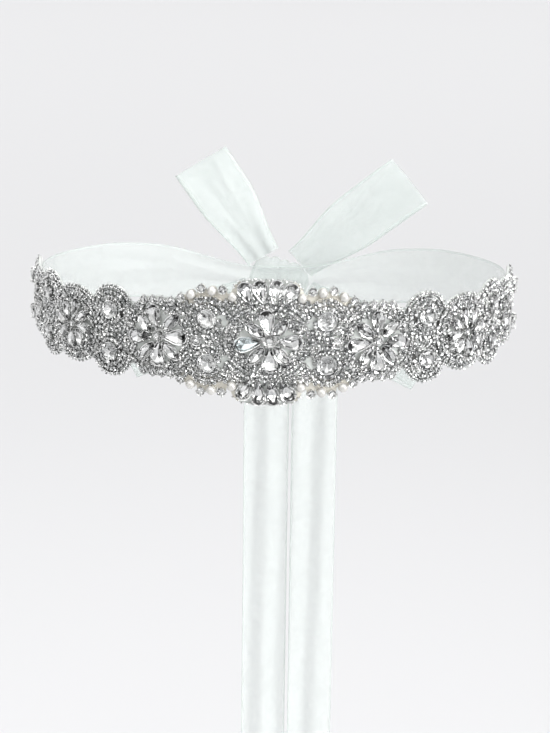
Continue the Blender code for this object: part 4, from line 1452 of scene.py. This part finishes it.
stone_places, between_places, bead_places = small_places()
for name, radius, chosen, seed in (
    ("small", SMALL_RADIUS, stone_places, 4),
    ("smaller", BETWEEN_RADIUS, between_places, 5),
):
    chance = random.Random(seed)
    set_places = [
        (
            along,
            up,
            SMALL_GIRDLE + chance.uniform(-SMALL_UNEVEN, SMALL_UNEVEN),
            chance.uniform(0.0, 2.0 * math.pi),
            (1.0, 1.0, chance.uniform(*SMALL_TALL)),
        )
        for along, up in chosen
    ]
    crown, culet = SMALL_CROWN * radius, SMALL_CULET * radius
    stone, cup = small_setting(name, radius, crown, culet, SMALL_FOOT)
    set_pieces(name + "_stones", stone, set_places, glass, SMALL_TILT, seed)
    set_pieces(name + "_cups", cup, set_places, foil, SMALL_TILT, seed)


def plate(place, out, radius):
    """The place of a round plate, as set_pieces takes it."""
    return (*place, out, 0.0, (radius / BASE_SHARE, radius / BASE_SHARE, 1.0))


# Each small stone and bead sits on a base whose near-black is painted shade between them.
base_places = [
    (*place, BASE_OUT, 0.0, (radius, radius, 1.0))
    for radius, chosen in (
        (SMALL_RADIUS, stone_places),
        (BETWEEN_RADIUS, between_places),
        (BEAD_RADIUS, bead_places),
    )
    for place in chosen
]
# Near-black plates in the gaps next to the round stones: painted shade.
base_places += [
    plate(place, GAP_PLATE_OUT, radius + GAP_PLATE)
    for along, up, radius in PAINTED_SHADE_GAPS
    for place in mirrored(along, up)
]
eye_plates = [plate((along, up), EYE_PLATE_OUT, EYE_PLATE * size) for along, up, _, _, size in eyes]
base_levels = [(round_outline(6), -BASE_THICKNESS), (round_outline(6), 0.0)]
base_shape = template("base", *solid_of(base_levels), (2.0 * BASE_SHARE, 2.0 * BASE_SHARE))
# Near-black metal: painted shade for the shadow between the small stones and in the gaps by the
# round stones.
painted_shade_silver = toned_paint(
    "painted shade silver", (0.02, 0.02, 0.019), (0.11, 0.11, 0.105), 300.0, 2.0,
    {"Metallic": 0.8, "Roughness": 0.45},
)[0]
set_pieces("stone_bases", base_shape, base_places, painted_shade_silver)
set_pieces("eye_plates", base_shape, eye_plates, silver)

# The single stones along the edge are larger, each in a claw setting of its own.
edge_stones = [
    (*place, SMALL_GIRDLE, math.radians(45.0), 1.0)
    for row in EDGE_CHATONS
    for place in mirrored(*row)
]
set_stones(
    "edge", edge_stones, round_outline(16), (2.0 * CHATON_RADIUS, 2.0 * CHATON_RADIUS),
    ((0.05, 0.9),), ROUND_CLAWS, (0.66, 0.62), tilt=0.05, crown=0.6, foot=1.35, lip=0.3,
    claw=(0.8, 0.55, 0.55),
)

# --- The cords -----------------------------------------------------------------------------------
# Four arcs of ivory satin cord, about 1 mm thick, twisted of two plies and couched down between the
# rows of pearls and the circles of small stones next to the centre.

CORD_PLY, CORD_TWIST = 0.32, 3.2  # radius of a ply, length of one full twist
CORD_STEP, CORD_HEIGHT = 0.35, 2.45  # between places on the path, and over the ribbon


def cord_tree():
    """Lays two plies along each path of a carrier, wound round one another."""
    tree, given = new_tree("twisted cord", Ply="Float", Twist="Float")
    path = add_node(tree, "GeometryNodeMeshToCurve", {0: given["Geometry"]})
    travelled = add_node(tree, "GeometryNodeSplineParameter").outputs["Length"]
    values = {0: travelled, 1: given["Twist"]}
    turns = add_node(tree, "ShaderNodeMath", values, operation="DIVIDE").outputs[0]
    normal = add_node(tree, "GeometryNodeInputNormal").outputs[0]
    tangent = add_node(tree, "GeometryNodeInputTangent").outputs[0]
    values = {"Resolution": 6, "Radius": given["Ply"]}
    profile = add_node(tree, "GeometryNodeCurvePrimitiveCircle", values)
    plies = add_node(tree, "GeometryNodeJoinGeometry")
    for phase in (0.0, math.pi):
        values = {0: turns, 1: 2.0 * math.pi, 2: phase}
        angle = add_node(tree, "ShaderNodeMath", values, operation="MULTIPLY_ADD")
        values = {"Vector": normal, "Axis": tangent, "Angle": angle.outputs[0]}
        wound = add_node(tree, "ShaderNodeVectorRotate", values)
        values = {0: wound.outputs[0], "Scale": given["Ply"]}
        offset = add_node(tree, "ShaderNodeVectorMath", values, operation="SCALE")
        values = {"Geometry": path.outputs[0], "Offset": offset.outputs[0]}
        moved = add_node(tree, "GeometryNodeSetPosition", values)
        values = {0: moved.outputs[0], "Profile Curve": profile.outputs[0], "Fill Caps": True}
        ply = add_node(tree, "GeometryNodeCurveToMesh", values)
        tree.links.new(ply.outputs[0], plies.inputs[0])
    end_tree(tree, plies.outputs[0], given["Finish"])
    return tree


def couched_cords():
    points, edges = [], []
    for middle, centre_up, radius, first, last in CORD_ARCS:
        steps = math.ceil(math.radians(last - first) * radius / CORD_STEP)
        for side, height in mirrored(1.0, 1.0):
            for step in range(steps + 1):
                turn = math.radians(first + (last - first) * step / steps)
                along, up = middle + radius * math.cos(turn), centre_up + radius * math.sin(turn)
                if step:
                    edges.append((len(points) - 1, len(points)))
                points.append(on_sash(side * along, height * up, CORD_HEIGHT))
    carrier_mesh = bpy.data.meshes.new("cord paths")
    carrier_mesh.from_pydata(points, edges, [])
    dark, light = (0.46, 0.43, 0.37), (0.74, 0.71, 0.64)
    values = {"Roughness": 0.45, "Sheen Weight": 0.4}
    ivory_cord = toned_paint("ivory cord", dark, light, 1500.0, 2.0, values)[0]
    values = {"Ply": CORD_PLY * MM, "Twist": CORD_TWIST * MM, "Finish": ivory_cord}
    mesh = made_by(cord_tree(), carrier_mesh, "cords", values)
    mesh.shade_smooth()
    mesh.set_sharp_from_angle(angle=math.radians(60.0))
    worn_piece("cords", mesh)


couched_cords()

# --- The pearls and the beads --------------------------------------------------------------------
# Ivory pearls, 5 mm across, sewn on by a thread through each, along the edge above and below the
# centre; and tiny silver beads in a row along the rest of the edge and in the last gaps.

PEARL_HEIGHT, BEAD_HEIGHT, BEAD_LIFT, GAP_BEAD_HEIGHT, GAP_BEAD = 2.9, 2.1, 0.6, 3.3, 1.1
EDGE_BEAD_HEIGHT, BEAD_PITCH, BEAD_TILT = 1.9, 1.45, 1.5
EDGE_BEAD_INSETS = (0.30, 1.05)  # by turns
EDGE_ROW_CLEAR = 4.4  # no beads go round the pearls and the claw-set stones of the edge


def ball_template(name, radius, sides, rings):
    shape = bmesh.new()
    bmesh.ops.create_uvsphere(shape, u_segments=sides, v_segments=rings, radius=radius * MM)
    mesh = bpy.data.meshes.new(name)
    shape.to_mesh(mesh)
    shape.free()
    return bpy.data.objects.new(name, mesh)


def pearl_finish():
    """Warm ivory under a thick clear lustre."""
    lustre = {"Coat Weight": 1.0, "Coat Roughness": 0.12, "Coat IOR": 1.9}
    dark, light = (0.54, 0.53, 0.50), (0.68, 0.67, 0.64)
    values = {"Roughness": 0.24, "Metallic": 0.35, **lustre}
    return toned_paint("ivory pearl", dark, light, 500.0, 2.0, values)[0]


def edge_beads():
    """Places along the scalloped edge, a little in and out by turns."""
    edge_row = [place for row in EDGE_PEARLS + EDGE_CHATONS for place in mirrored(*row)]
    places, travelled, number = [], 0.0, 0
    for here, there in zip(outline, outline[1:] + outline[:1]):
        gap = math.dist(here, there)
        while travelled <= gap and gap > 0.0:
            share = travelled / gap
            along = here[0] + (there[0] - here[0]) * share
            up = here[1] + (there[1] - here[1]) * share
            inwards = Vector((here[1] - there[1], there[0] - here[0])).normalized()
            inset = EDGE_BEAD_INSETS[number % 2]
            place = along + inwards.x * inset, up + inwards.y * inset
            if all(math.dist(place, row) > EDGE_ROW_CLEAR for row in edge_row):
                places.append((*place, EDGE_BEAD_HEIGHT, 0.0, 1.0))
            travelled += BEAD_PITCH
            number += 1
        travelled -= gap
    return places


pearl_places = [(*place, PEARL_HEIGHT, 0.0, 1.0) for row in EDGE_PEARLS for place in mirrored(*row)]
pearl = ball_template("pearl", PEARL_RADIUS, 24, 14)
set_pieces("pearls", pearl, pearl_places, pearl_finish(), smooth_shaded=True)

bead_chance = random.Random(8)
sewn_beads = edge_beads()
sewn_beads += [
    (*place, BEAD_HEIGHT + bead_chance.uniform(0.0, BEAD_LIFT), 0.0, 1.0) for place in bead_places
]
sewn_beads += [(*place, GAP_BEAD_HEIGHT, 0.0, GAP_BEAD) for place in petal_gaps]
bead = ball_template("bead", BEAD_RADIUS, 6, 4)
set_pieces("edge_beads", bead, sewn_beads, foil, BEAD_TILT)
